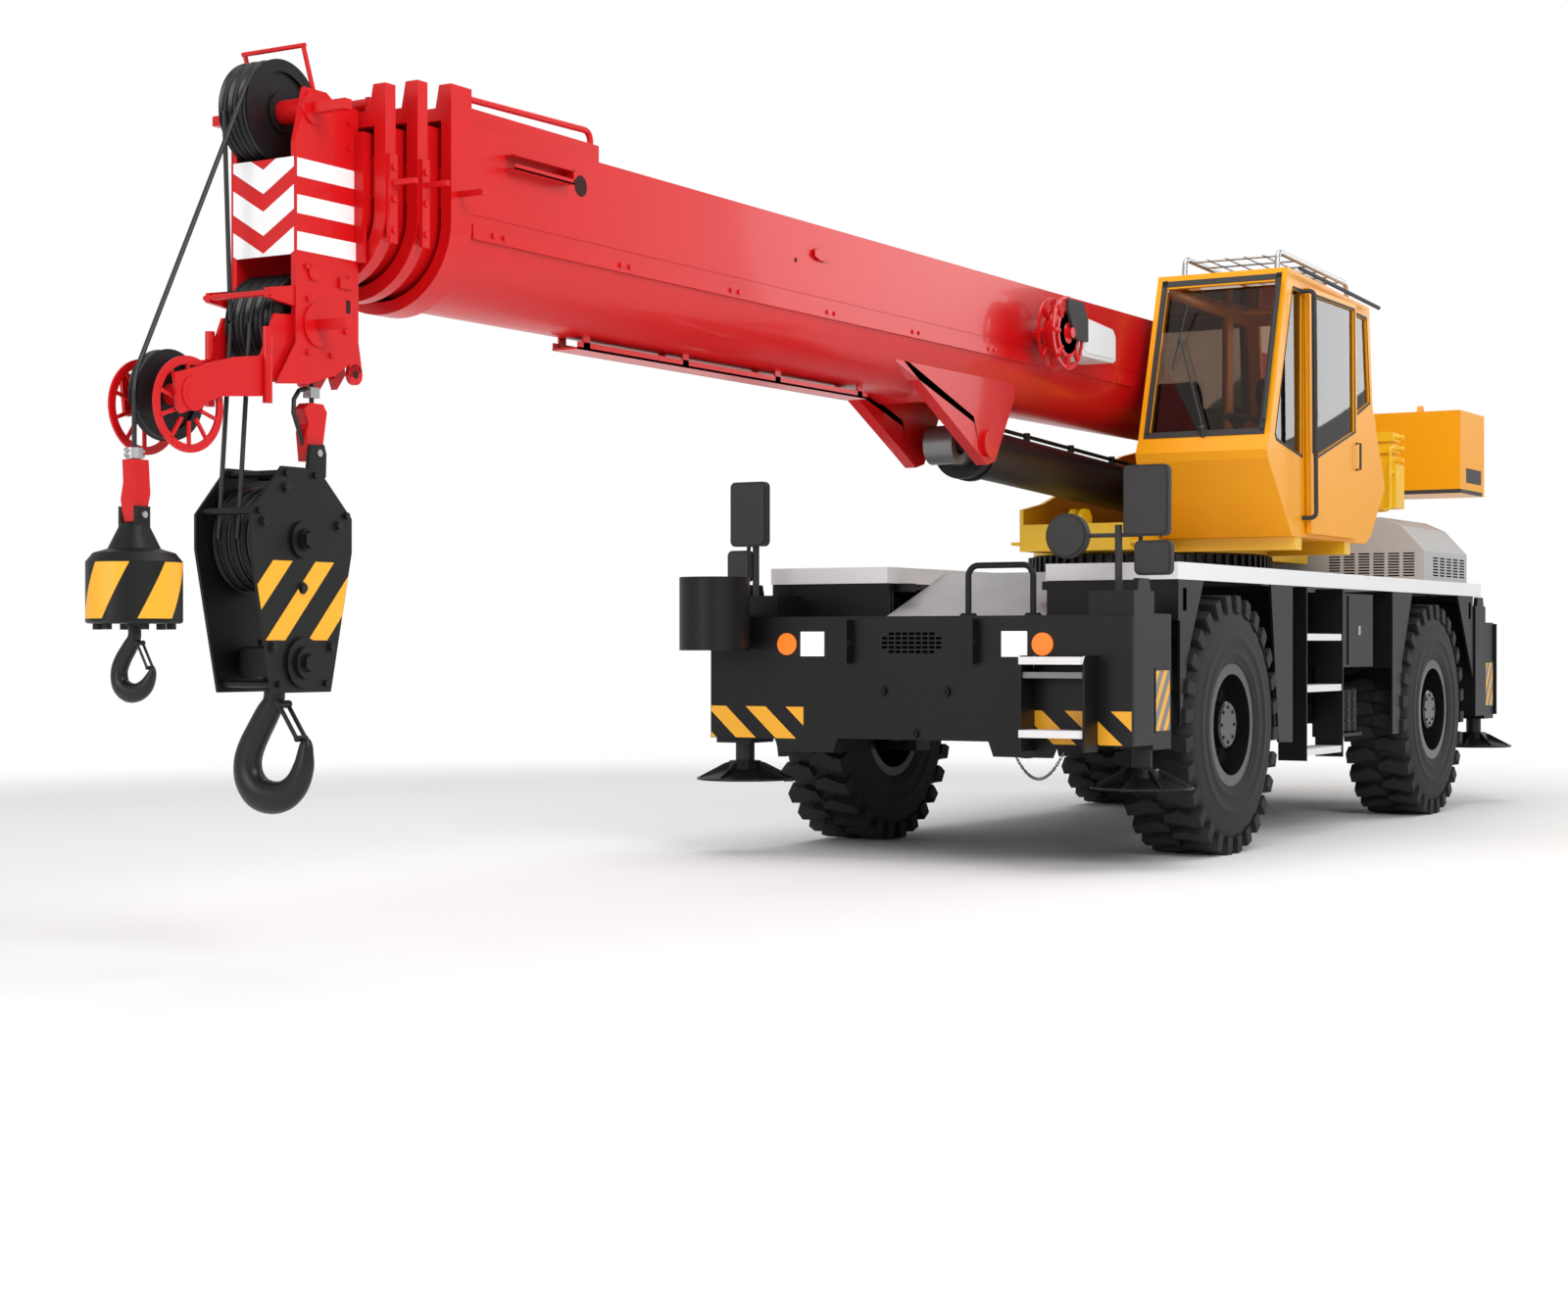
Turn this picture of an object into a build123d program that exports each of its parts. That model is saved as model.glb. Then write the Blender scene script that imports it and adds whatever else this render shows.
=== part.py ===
"""Rough terrain crane: two-axle carrier, slewing superstructure with a side cab, four-section boom, two hooks.

The model is in millimetres. +X points to the front of the carrier, +Y to its left and +Z up, with the boom over the
front at rest. Sizes along X are written from the middle of the wheelbase, and every piece is moved by origin_shift
when it is exported, so that the origin lies on the ground under the middle of the overall length.
"""

from build123d import *
from math import asin, atan2, cos, degrees, hypot, pi, radians, sin
import os

# Running gear
axle_span = 3990.0
wheel_radius = 746.0
tyre_width = 430.0
wheel_y = 1101.0
kingpin_y = 880.0
rim_seat_radius = 318.0
rim_flange_radius = 352.0
rim_wall = 12.0
axle_radius = 118.0
running_gap = 0.1
seat_gap = 0.3
front_axle_x = axle_span / 2
rear_axle_x = -axle_span / 2

# Carrier
frame_half_width = 430.0
frame_low = 985.0
frame_high = 1500.0
deck_half_width = 1300.0
deck_inner_y = 507.0
deck_low = 1567.0
deck_high = 1662.0
deck_wall = 12.0
deck_front_x = 2818.0
deck_rear_x = -3258.0
front_box_rear_x = 2870.0
front_face_x = 3476.0
rear_box_front_x = -3060.0
rear_face_x = -3666.0
box_low = 671.0
box_high = 1340.0
box_half_width = 1310.0
plate_wall = 14.0
bumper_high = 1365.0
side_post_high = 1494.0
bucket_radius = 200.0
bucket_x = front_face_x + 212
bucket_y = -1150.0
hood_front_x = -2120.0
hood_rear_x = -3225.0
hood_half_width = 1200.0
hood_shoulder_z = 1884.0
hood_top_z = 2064.0
hood_top_half_width = 1034.0

# Outriggers
beam_depth = 250.0
beam_height = 300.0
beam_mid_z = 1010.0
slot_gap = 8.0
column_depth = 262.0
column_width = 230.0
column_outer_y = 1290.0
pad_radius = 280.0
pad_low_z = 425.0
jack_bore_radius = 55.1

# Slewing ring and superstructure
slew_x = 80.0
ring_radius = 807.0
ring_low = 1662.0
ring_high = 1787.0
ring_teeth = 72
pedestal_radius = 740.0
table_low = 1795.0
boom_pivot_x = -2200.0
boom_pivot_z = 2880.0
side_plate_y = 350.0
side_plate_wall = 26.0
trunnion_radius = 70.0
counterweight_front_x = -3050.0
counterweight_rear_x = -3710.0
counterweight_half_width = 1200.0
counterweight_low = 2345.0
counterweight_high = 2968.0

# Cab
cab_right_y = 405.0
cab_left_y = 1255.0
cab_wall = 40.0
glass_wall = 6.0

# Boom
boom_rear_x = -2480.0
collar_front_x = 7976.0
boom_half_width = 310.0
boom_low = 2560.0
boom_high = 3270.0
boom_wall = 10.0
boom_round = 250.0
section_step = 35.0
collar_step_x = 168.0
head_front_x = 8655.0
luff_pin_x = 3060.0
luff_pin_z = 2336.0
luff_foot_x = -1000.0
luff_foot_z = 2150.0
barrel_radius = 145.0
rod_radius = 100.0
luff_gland_x = 2560.0

# Hooks and ropes
sheave_radius = 200.0
groove_radius = 184.0
sheave_width = 46.0
rope_radius = 9.0
top_sheave_x = 8560.0
top_sheave_z = 3215.0
low_sheave_x = 8535.0
low_sheave_z = 2407.0
aux_sheave_x = 9122.0
aux_sheave_z = 2100.0
block_sheave_z = 1600.0
block_half_width = 141.0

# The origin lies under the middle of the overall length.
aux_hook_x = aux_sheave_x + groove_radius + rope_radius
aux_weight_radius = 167.0
overall_front_x = aux_hook_x + aux_weight_radius
overall_rear_x = counterweight_rear_x
origin_shift = -(overall_front_x + overall_rear_x) / 2


def block(x_low, x_high, y_low, y_high, z_low, z_high, mode=Mode.ADD):
    """A straight block between two corners."""
    centre = ((x_low + x_high) / 2, (y_low + y_high) / 2, (z_low + z_high) / 2)
    with Locations(centre):
        Box(x_high - x_low, y_high - y_low, z_high - z_low, mode=mode)


def side_prism(points, y_low, y_high, mode=Mode.ADD):
    """An outline of (x, z) points seen from the side, filled from y_low to y_high."""
    with BuildSketch(Plane.XZ.offset(-y_high)) as face:
        Polygon(*points, align=None)
    extrude(face.sketch, amount=y_high - y_low, dir=(0, -1, 0), mode=mode)


def cross_prism(points, x_low, x_high, mode=Mode.ADD):
    """An outline of (y, z) points seen from the front, filled from x_low to x_high."""
    with BuildSketch(Plane.YZ.offset(x_low)) as face:
        Polygon(*points, align=None)
    extrude(face.sketch, amount=x_high - x_low, dir=(1, 0, 0), mode=mode)


def flat_prism(points, z_low, z_high, mode=Mode.ADD):
    """An outline of (x, y) points seen from above, filled from z_low to z_high."""
    with BuildSketch(Plane.XY.offset(z_low)) as face:
        Polygon(*points, align=None)
    extrude(face.sketch, amount=z_high - z_low, dir=(0, 0, 1), mode=mode)


def bar(start, end, radius, mode=Mode.ADD):
    """A round bar from one point to another."""
    run = Vector(*end) - Vector(*start)
    with BuildSketch(Plane(origin=start, z_dir=run)) as face:
        Circle(radius)
    extrude(face.sketch, amount=run.length, dir=run.normalized(), mode=mode)


def cross_bar(x, z, y_low, y_high, radius, mode=Mode.ADD):
    """A round bar that lies across the crane."""
    bar((x, y_low, z), (x, y_high, z), radius, mode)


def bent_tube(points, bend, radius):
    """A tube along straight runs that are joined by arcs."""
    with BuildLine() as route:
        FilletPolyline(*points, radius=bend)
    start = route.line @ 0
    with BuildSketch(Plane(origin=start, z_dir=route.line % 0)) as face:
        Circle(radius)
    sweep(face.sketch, path=route.line)


def ring_profile(points, x, z):
    """Turns a profile of (radius, y) points about a cross axis at x and z."""
    with BuildSketch(Plane(origin=(x, 0, z), x_dir=(1, 0, 0), z_dir=(0, 0, 1))) as face:
        Polygon(*points, align=None)
    revolve(face.sketch, axis=Axis((x, 0, z), (0, 1, 0)))


def save(piece, name):
    """Labels a finished piece, moves it to the origin and writes its file."""
    solid = piece.part.moved(Location((origin_shift, 0, 0)))
    solid.label = name
    export_step(solid, "parts/" + name + ".step")


os.makedirs("parts", exist_ok=True)

# Carrier frame: a closed box rail with the outrigger boxes across both ends
# Each slot: side it opens to (+1 is left), middle along X, and the end that it is at (+1 is the front)
left_front_x = front_box_rear_x + plate_wall + column_depth / 2 + 4
right_front_x = front_face_x - 2 * plate_wall - column_depth / 2
left_rear_x = rear_face_x + 2 * plate_wall + column_depth / 2
right_rear_x = rear_box_front_x - plate_wall - column_depth / 2 - 4
outriggers = {
    "fl": (1, left_front_x, 1),
    "fr": (-1, right_front_x, 1),
    "rl": (1, left_rear_x, -1),
    "rr": (-1, right_rear_x, -1),
}
box_body_half = column_outer_y - column_width - slot_gap
wheels = {
    "fl": (1, front_axle_x),
    "fr": (-1, front_axle_x),
    "rl": (1, rear_axle_x),
    "rr": (-1, rear_axle_x),
}
bulkhead_x = (2790.0, 947.0, -1080.0, -3046.0)
# Gussets beside the wheels, as (x, z) outlines
gussets = (
    ((2778, 1567), (2424, 1567), (2668, 1140), (2770, 763), (2778, 763)),
    ((1331, 1567), (947, 1567), (947, 611), (1193, 619)),
    ((-1066, 1567), (-1519, 1567), (-1280, 1080), (-1205, 598), (-1066, 598)),
    ((-2640, 1567), (-3046, 1567), (-3046, 967)),
)

with BuildPart() as chassis_frame:
    side_prism(
        [
            (rear_box_front_x, frame_low),
            (rear_axle_x - 420, frame_low),
            (rear_axle_x - 300, frame_low + 60),
            (rear_axle_x + 300, frame_low + 60),
            (rear_axle_x + 520, frame_low - 190),
            (front_axle_x - 520, frame_low - 190),
            (front_axle_x - 300, frame_low + 60),
            (front_axle_x + 300, frame_low + 60),
            (front_axle_x + 420, frame_low),
            (front_box_rear_x, frame_low),
            (front_box_rear_x, box_high),
            (2680, box_high),
            (2270, frame_high),
            (rear_box_front_x, frame_high),
        ],
        -frame_half_width,
        frame_half_width,
    )
    with Locations((slew_x, 0, (frame_high + ring_low) / 2)):
        Cylinder(pedestal_radius, ring_low - frame_high)
    block(front_box_rear_x, front_face_x - 1, -box_body_half, box_body_half, box_low + 60, box_high)
    block(rear_face_x + 1, rear_box_front_x, -box_body_half, box_body_half, box_low + 60, box_high)
    # the closed end of each slot, opposite its jack
    for side, x, end in outriggers.values():
        y_in, y_out = -side * (box_body_half - 1), -side * box_half_width
        x_rear = x - column_depth / 2 - 6
        x_front = x + column_depth / 2 + 6
        block(x_rear, x_front, min(y_in, y_out), max(y_in, y_out), box_low, side_post_high)
    for side, x, end in outriggers.values():
        y_closed = -side * (box_half_width - plate_wall)
        y_open = side * (box_half_width + 10)
        block(
            x - beam_depth / 2 - slot_gap,
            x + beam_depth / 2 + slot_gap,
            min(y_closed, y_open),
            max(y_closed, y_open),
            beam_mid_z - beam_height / 2 - slot_gap,
            beam_mid_z + beam_height / 2 + slot_gap,
            mode=Mode.SUBTRACT,
        )
    # wear pads that carry each beam in its slot
    for side, x, end in outriggers.values():
        y_pads = ((box_body_half - 60, box_body_half), (-box_body_half, 60 - box_body_half))
        for y_low, y_high in y_pads:
            for z_slot, z_pad in (
                (beam_mid_z - beam_height / 2 - slot_gap - 1, beam_mid_z - beam_height / 2 - seat_gap),
                (beam_mid_z + beam_height / 2 + seat_gap, beam_mid_z + beam_height / 2 + slot_gap + 1),
            ):
                block(x - 60, x + 60, y_low, y_high, z_slot, z_pad)
    # front and rear plates with two lobes on the lower edge
    for x_low in (front_face_x - plate_wall, rear_face_x):
        cross_prism(
            [
                (-box_half_width, box_low),
                (-880, box_low),
                (-850, 600),
                (-500, 600),
                (-470, box_low + 10),
                (470, box_low + 10),
                (500, 600),
                (850, 600),
                (880, box_low),
                (box_half_width, box_low),
                (box_half_width, bumper_high),
                (-box_half_width, bumper_high),
            ],
            x_low,
            x_low + plate_wall,
        )
    for x_low, x_high in ((front_face_x - 74, front_face_x), (rear_face_x, rear_face_x + 74)):
        block(x_low, x_high, -box_body_half, box_body_half, bumper_high - 26, bumper_high)
    # tow lugs
    for x_low, x_high in ((front_face_x - 1, front_face_x + 70), (rear_face_x - 70, rear_face_x + 1)):
        for y in (-390, 390):
            block(x_low, x_high, y - 20, y + 20, 1105, 1345)
            for x in ((x_low + x_high) / 2,):
                cross_bar(x + (4 if x > 0 else -4), 1215, y - 21, y + 21, 24, mode=Mode.SUBTRACT)
    # bulkheads that carry the deck, and the plates beside the wheels
    for side in (-1, 1):
        for x in bulkhead_x:
            foot = bumper_high if x > 2000 or x < -2000 else frame_low + 60
            y_in = side * (deck_inner_y if x == bulkhead_x[0] else frame_half_width - 1)
            y_out = side * (deck_half_width - 16)
            block(x, x + plate_wall, min(y_in, y_out), max(y_in, y_out), foot, deck_low)
        for outline in gussets:
            y_in, y_out = side * (deck_half_width - 17), side * (deck_half_width - 3)
            side_prism(outline, min(y_in, y_out), max(y_in, y_out))
        # ends of the deck boxes, above the outrigger boxes
        y_in, y_out = side * deck_inner_y, side * (deck_half_width - 3)
        block(2778, 2804, min(y_in, y_out), max(y_in, y_out), box_high - 1, deck_low)
        block(2740, front_box_rear_x + 1, min(y_in, side * 1000), max(y_in, side * 1000), box_high - 20, bumper_high)
        block(rear_box_front_x - 1, -3030, min(y_in, side * 1000), max(y_in, side * 1000), box_high - 20, deck_low)
        block(2740, 2760, min(y_in, side * 1000), max(y_in, side * 1000), bumper_high, deck_low)
    # side members under the deck's outer edges tie the gussets to the frame
    for side in (-1, 1):
        y_in, y_out = side * (frame_half_width - 1), side * (deck_half_width - 16)
        for x_low, x_high in ((947, 1010), (-1130, -1066), (2600, 2700), (-2960, -2860)):
            block(x_low, x_high, min(y_in, y_out), max(y_in, y_out), 1518, deck_low)
save(chassis_frame, "chassis_frame")

# Deck: a white tray on each side, cut round the pedestal
with BuildPart() as deck:
    for side in (-1, 1):
        y_in, y_out = side * deck_inner_y, side * deck_half_width
        block(deck_rear_x, deck_front_x, min(y_in, y_out), max(y_in, y_out), deck_low, deck_high)
        block(
            deck_rear_x + 12,
            deck_front_x - 12,
            min(y_in, y_out) + 12,
            max(y_in, y_out) - 12,
            deck_low - 1,
            deck_high - 12,
            mode=Mode.SUBTRACT,
        )
    with Locations((slew_x, 0, (deck_low + deck_high) / 2)):
        Cylinder(pedestal_radius + 3, deck_high - deck_low + 2, mode=Mode.SUBTRACT)
save(deck, "deck")

with BuildPart() as centre_cover:
    side_prism(
        [
            (front_face_x - plate_wall - 61, bumper_high),
            (2850, bumper_high),
            (2070, 1640),
            (900, 1640),
            (900, 1634),
            (2068, 1634),
            (2760, 1391),
            (2760, 1346),
            (3350, 1346),
            (3350, 1359),
            (front_face_x - plate_wall - 61, 1359),
        ],
        -deck_inner_y + 1,
        deck_inner_y - 1,
    )
    # side cheeks carry the cover on the frame
    for y in (-425, 415):
        side_prism([(2740, 1399), (2060, 1636), (1000, 1636), (1000, frame_high), (2270, frame_high)], y, y + 10)
save(centre_cover, "centre_cover")

# Engine hood over the rear of the deck
with BuildPart() as engine_hood:
    hood_outline = [
        (-hood_half_width, deck_high),
        (-hood_half_width, hood_shoulder_z),
        (-hood_top_half_width, hood_top_z),
        (-885, 2130),
        (885, 2130),
        (hood_top_half_width, hood_top_z),
        (hood_half_width, hood_shoulder_z),
        (hood_half_width, deck_high),
    ]
    cross_prism(hood_outline, hood_rear_x, hood_front_x)
    cross_prism(
        [
            (-hood_half_width + 6, deck_high - 1),
            (-hood_half_width + 6, hood_shoulder_z - 2),
            (-hood_top_half_width + 4, hood_top_z - 8),
            (-884, 2124),
            (884, 2124),
            (hood_top_half_width - 4, hood_top_z - 8),
            (hood_half_width - 6, hood_shoulder_z - 2),
            (hood_half_width - 6, deck_high - 1),
        ],
        hood_rear_x + 6,
        hood_front_x - 6,
        mode=Mode.SUBTRACT,
    )
save(engine_hood, "engine_hood")

with BuildPart() as engine_block:
    block(-3000, -2250, -380, 380, frame_high, 2040)
save(engine_block, "engine_block")

# Axles with their kingpin yokes, seated on pads under the frame
with BuildPart() as axles:
    for x in (front_axle_x, rear_axle_x):
        cross_bar(x, wheel_radius, -kingpin_y + 150, kingpin_y - 150, axle_radius)
        with Locations((x, 0, wheel_radius)):
            Sphere(225)
        for side in (-1, 1):
            y_pad = side * 340
            block(x - 90, x + 90, y_pad - 70, y_pad + 70, wheel_radius + 60, frame_low + 60)
            y_in, y_out = side * (kingpin_y - 180), side * (kingpin_y - 110)
            block(x - 95, x + 95, min(y_in, y_out), max(y_in, y_out), wheel_radius - 190, wheel_radius + 190)
            y_ear = side * (kingpin_y + 70)
            for z in (wheel_radius - 165, wheel_radius + 165):
                block(x - 75, x + 75, min(y_in, y_ear), max(y_in, y_ear), z - 25, z + 25)
                with Locations((x, side * kingpin_y, z)):
                    Cylinder(30 + running_gap, 52, mode=Mode.SUBTRACT)
        # steering cylinder across the axle
        back = -1 if x > 0 else 1
        cross_bar(x + back * 190, wheel_radius + 30, -260, 260, 45)
        cross_bar(x + back * 190, wheel_radius + 30, -500, 500, 24)
        block(x + min(0, back * 190), x + max(0, back * 190), -30, 30, wheel_radius, wheel_radius + 60)
save(axles, "axles")

# Knuckles, wheels
for name, (side, x) in wheels.items():
    with BuildPart() as knuckle:
        y = side * kingpin_y
        with Locations((x, y, wheel_radius)):
            Cylinder(88, 268)
            Cylinder(30, 378)
        y_hub = side * (wheel_y - 96)
        bar((x, y, wheel_radius), (x, y_hub, wheel_radius), 100)
        bar((x, y, wheel_radius), (x, side * (wheel_y + 90), wheel_radius), 60)
        # steering arm
        back = -1 if x > 0 else 1
        x_arm = x + back * 215
        y_arm = side * kingpin_y
        block(min(x, x_arm), max(x, x_arm), y_arm - 30, y_arm + 30, wheel_radius - 120, wheel_radius - 80)
    save(knuckle, "knuckle_" + name)

    with BuildPart() as rim:
        with BuildSketch(Plane(origin=(x, side * wheel_y, wheel_radius), x_dir=(1, 0, 0), z_dir=(0, 0, side))):
            Polygon(
                (60 + running_gap, -88),
                (120, -88),
                (120, 40),
                (300, 40),
                (300, -200),
                (352, -200),
                (352, -186),
                (rim_seat_radius, -186),
                (rim_seat_radius, 186),
                (352, 186),
                (352, 200),
                (292, 200),
                (292, 60),
                (150, 60),
                (135, 75),
                (135, 168),
                (124, 179),
                (0, 179),
                (0, 95),
                (60 + running_gap, 95),
                align=None,
            )
        revolve(axis=Axis((x, 0, wheel_radius), (0, 1, 0)))
    save(rim, "rim_" + name)

    with BuildPart() as tyre:
        seat = rim_seat_radius + seat_gap
        lip = 352 + seat_gap
        with BuildSketch(Plane(origin=(x, side * wheel_y, wheel_radius), x_dir=(1, 0, 0), z_dir=(0, 0, side))):
            with BuildLine():
                Polyline((lip, -200), (lip, -186 + seat_gap), (seat, -186 + seat_gap), (seat, 186 - seat_gap))
                Polyline((seat, 186 - seat_gap), (lip, 186 - seat_gap), (lip, 200))
                ThreePointArc((lip, 200), (560, 215), (722, 184))
                Polyline((722, 184), (wheel_radius, 166), (wheel_radius, -166), (722, -184))
                ThreePointArc((722, -184), (560, -215), (lip, -200))
            make_face()
        revolve(axis=Axis((x, 0, wheel_radius), (0, 1, 0)))
    save(tyre, "tyre_" + name)

# Outrigger beams with their jack columns, and the jacks
for name, (side, x, end) in outriggers.items():
    y_mid = side * (column_outer_y - column_width / 2)
    with BuildPart() as beam:
        y_in, y_out = -side * (box_half_width - 70), side * (column_outer_y - 20)
        x_low, x_high = x - beam_depth / 2, x + beam_depth / 2
        block(
            x_low,
            x_high,
            min(y_in, y_out),
            max(y_in, y_out),
            beam_mid_z - beam_height / 2,
            beam_mid_z + beam_height / 2,
        )
        y_in, y_out = -side * (box_half_width - 60), side * (column_outer_y - column_width - 30)
        block(
            x_low + 12,
            x_high - 12,
            min(y_in, y_out),
            max(y_in, y_out),
            beam_mid_z - beam_height / 2 + 12,
            beam_mid_z + beam_height / 2 - 12,
            mode=Mode.SUBTRACT,
        )
        y_in, y_out = side * (column_outer_y - column_width), side * column_outer_y
        block(
            x - column_depth / 2 + 3,
            x + column_depth / 2 - 3,
            min(y_in, y_out),
            max(y_in, y_out),
            box_low - 30,
            side_post_high - 120,
        )
        with Locations((x, y_mid, 925)):
            Cylinder(jack_bore_radius, 600, mode=Mode.SUBTRACT)
    save(beam, "outrigger_beam_" + name)

    with BuildPart() as jack:
        with Locations((x, y_mid, 870)):
            Cylinder(jack_bore_radius - running_gap, 680)
        with BuildSketch(Plane(origin=(x, y_mid, 0), x_dir=(1, 0, 0), z_dir=(0, -1, 0))):
            Polygon(
                (0, pad_low_z),
                (pad_radius, pad_low_z),
                (pad_radius, pad_low_z + 12),
                (120, pad_low_z + 62),
                (90, pad_low_z + 110),
                (0, pad_low_z + 110),
                align=None,
            )
        revolve(axis=Axis((x, y_mid, 0), (0, 0, 1)))
    save(jack, "jack_" + name)

# Steps, ladder and the cabinets between the wheels
with BuildPart() as steps:
    for z_low, z_high, x_depth in ((1103, 1143, 200), (1030, 1062, 150), (715, 755, 200)):
        block(front_face_x + 20, front_face_x + x_depth, 745, 1100, z_low, z_high)
    for y in (733, 1100):
        block(front_face_x, front_face_x + 170, y, y + 14, 640, 1150)
    for z in (1233, 909, 511):
        block(-90, 600, 1085, 1262, z, z + 42)
    for x in (-104, 600):
        block(x, x + 14, 1085, 1270, 480, deck_low)
save(steps, "steps")

with BuildPart() as side_tanks:
    # tool cabinet and air bottles on the left
    block(-742, -104, 900, 1262, 1060, 1540)
    block(-742, -104, frame_half_width, 901, 1440, 1500)
    for x in (-700, -560, -420, -280):
        cross_bar(x, 770, 700, 1180, 62)
    block(-770, -210, 880, 900, 700, 1061)
    block(-770, -210, 1120, 1140, 700, 1061)
    # fuel and oil tanks
    block(-60, 560, 640, 1040, 700, 1500)
    block(-60, 560, frame_half_width, 641, 1200, 1300)
    block(-900, 840, -1262, -640, 760, 1500)
    block(-900, 840, -641, -frame_half_width, 1200, 1300)
save(side_tanks, "side_tanks")

# Mirrors on their posts and the rail at the front
with BuildPart() as mirrors:
    # side, post x, post y, y of the mirror stem
    for side, x, y_post, y_stem in ((1, 3250, 1135, 1262), (-1, 3090, 1240, 1290)):
        bar((x, side * y_post, side_post_high), (x, side * y_post, 1830), 20)
        bar((x, side * y_post, 1795), (x, side * y_stem, 1795), 12)
        bar((x, side * y_stem, 1640), (x, side * y_stem, 2060), 12)
        y_a, y_b = (1180, 1440) if side > 0 else (-1390, -1140)
        block(x + 6, x + 56, y_a, y_b, 1785, 2165)
        y_a, y_b = (1243, 1455) if side > 0 else (-1410, -1250)
        block(x + 6, x + 56, y_a, y_b, 1577, 1762)
        if side > 0:
            bar((x, y_post, 1795), (x, 850, 1795), 12)
            bar((x, 850, 1795), (x + 60, 850, 1795), 122)
save(mirrors, "mirrors")

with BuildPart() as handrail:
    bent_tube(
        [(3395, 310, bumper_high), (3395, 310, 1640), (3395, 700, 1640), (3395, 700, bumper_high)],
        60,
        17,
    )
save(handrail, "handrail")

with BuildPart() as lamps:
    for side in (-1, 1):
        block(front_face_x, front_face_x + 10, side * 628 - 75, side * 628 + 75, 1142, 1280)
        bar((front_face_x, side * 795, 1210), (front_face_x + 10, side * 795, 1210), 62)
        block(rear_face_x - 40, rear_face_x, side * 980 - 180, side * 980 + 180, 1050, 1150)
save(lamps, "lamps")

# Hook bucket in front of the bumper's right end
with BuildPart() as hook_bucket:
    with Locations((bucket_x, bucket_y, 1382)):
        Cylinder(bucket_radius, 415)
    with Locations((bucket_x, bucket_y, 1392)):
        Cylinder(bucket_radius - 4, 415, mode=Mode.SUBTRACT)
    for z in (1230, 1330):
        block(front_face_x, bucket_x - bucket_radius + 12, bucket_y - 40, bucket_y + 40, z - 6, z + 6)
    with Locations((bucket_x, bucket_y, 1392)):
        Cylinder(bucket_radius - 4, 415, mode=Mode.SUBTRACT)
save(hook_bucket, "hook_bucket")

# Slewing ring
with BuildPart() as slew_ring:
    with Locations((slew_x, 0, (ring_low + ring_high) / 2)):
        Cylinder(ring_radius, ring_high - ring_low)
        Cylinder(640, ring_high - ring_low + 2, mode=Mode.SUBTRACT)
save(slew_ring, "slew_ring")

# Superstructure frame
with BuildPart() as turntable_frame:
    with Locations((slew_x, 0, (ring_low + 8 + table_low + 10) / 2)):
        Cylinder(640 - running_gap, table_low + 10 - ring_low - 8)
    with Locations((slew_x, 0, table_low + 20)):
        Cylinder(770, 40)
    block(-2000, 1250, -376, 376, table_low, table_low + 40)
    for side in (-1, 1):
        y_in, y_out = side * side_plate_y, side * (side_plate_y + side_plate_wall)
        side_prism(
            [
                (1300, table_low),
                (1300, 2060),
                (1000, 2110),
                (830, 2160),
                (469, 2294),
                (-290, 2500),
                (-1500, 2700),
                (-2000, 3060),
                (-2400, 3060),
                (-2600, 2800),
                (counterweight_front_x, 2800),
                (counterweight_front_x, 2380),
                (-2650, 2160),
                (-2050, 2150),
                (-2000, table_low),
            ],
            min(y_in, y_out),
            max(y_in, y_out),
        )
        cross_bar(boom_pivot_x, boom_pivot_z, min(y_in, y_out) - 20, max(y_in, y_out) + 20, 130)
        cross_bar(luff_foot_x, luff_foot_z, min(y_in, y_out) - 20, max(y_in, y_out) + 20, 110)
    block(1000, 1300, -376, 376, table_low, 1964)
    block(counterweight_front_x, counterweight_front_x + 40, -376, 376, 2410, 2790)
    for x in (-330, 620):
        block(x, x + 120, 350, 1240, table_low + 1, 1877)
    cross_bar(luff_foot_x, luff_foot_z, -side_plate_y, side_plate_y, 55)
    for side in (-1, 1):
        y_a, y_b = side * (side_plate_y - 25), side * (side_plate_y + side_plate_wall + 25)
        cross_bar(boom_pivot_x, boom_pivot_z, min(y_a, y_b), max(y_a, y_b), trunnion_radius + running_gap, mode=Mode.SUBTRACT)
save(turntable_frame, "turntable_frame")

with BuildPart() as counterweight:
    block(
        counterweight_rear_x,
        counterweight_front_x,
        -counterweight_half_width,
        counterweight_half_width,
        counterweight_low,
        counterweight_high,
    )
save(counterweight, "counterweight")

with BuildPart() as winches:
    for x, z, flange_radius in ((-2810, 2600, 180), (-2500, 2305, 155)):
        cross_bar(x, z, -300, 300, 130)
        cross_bar(x, z, -320, -290, flange_radius)
        cross_bar(x, z, 290, 320, flange_radius)
        cross_bar(x, z, -side_plate_y, side_plate_y, 60)
save(winches, "winches")

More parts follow.
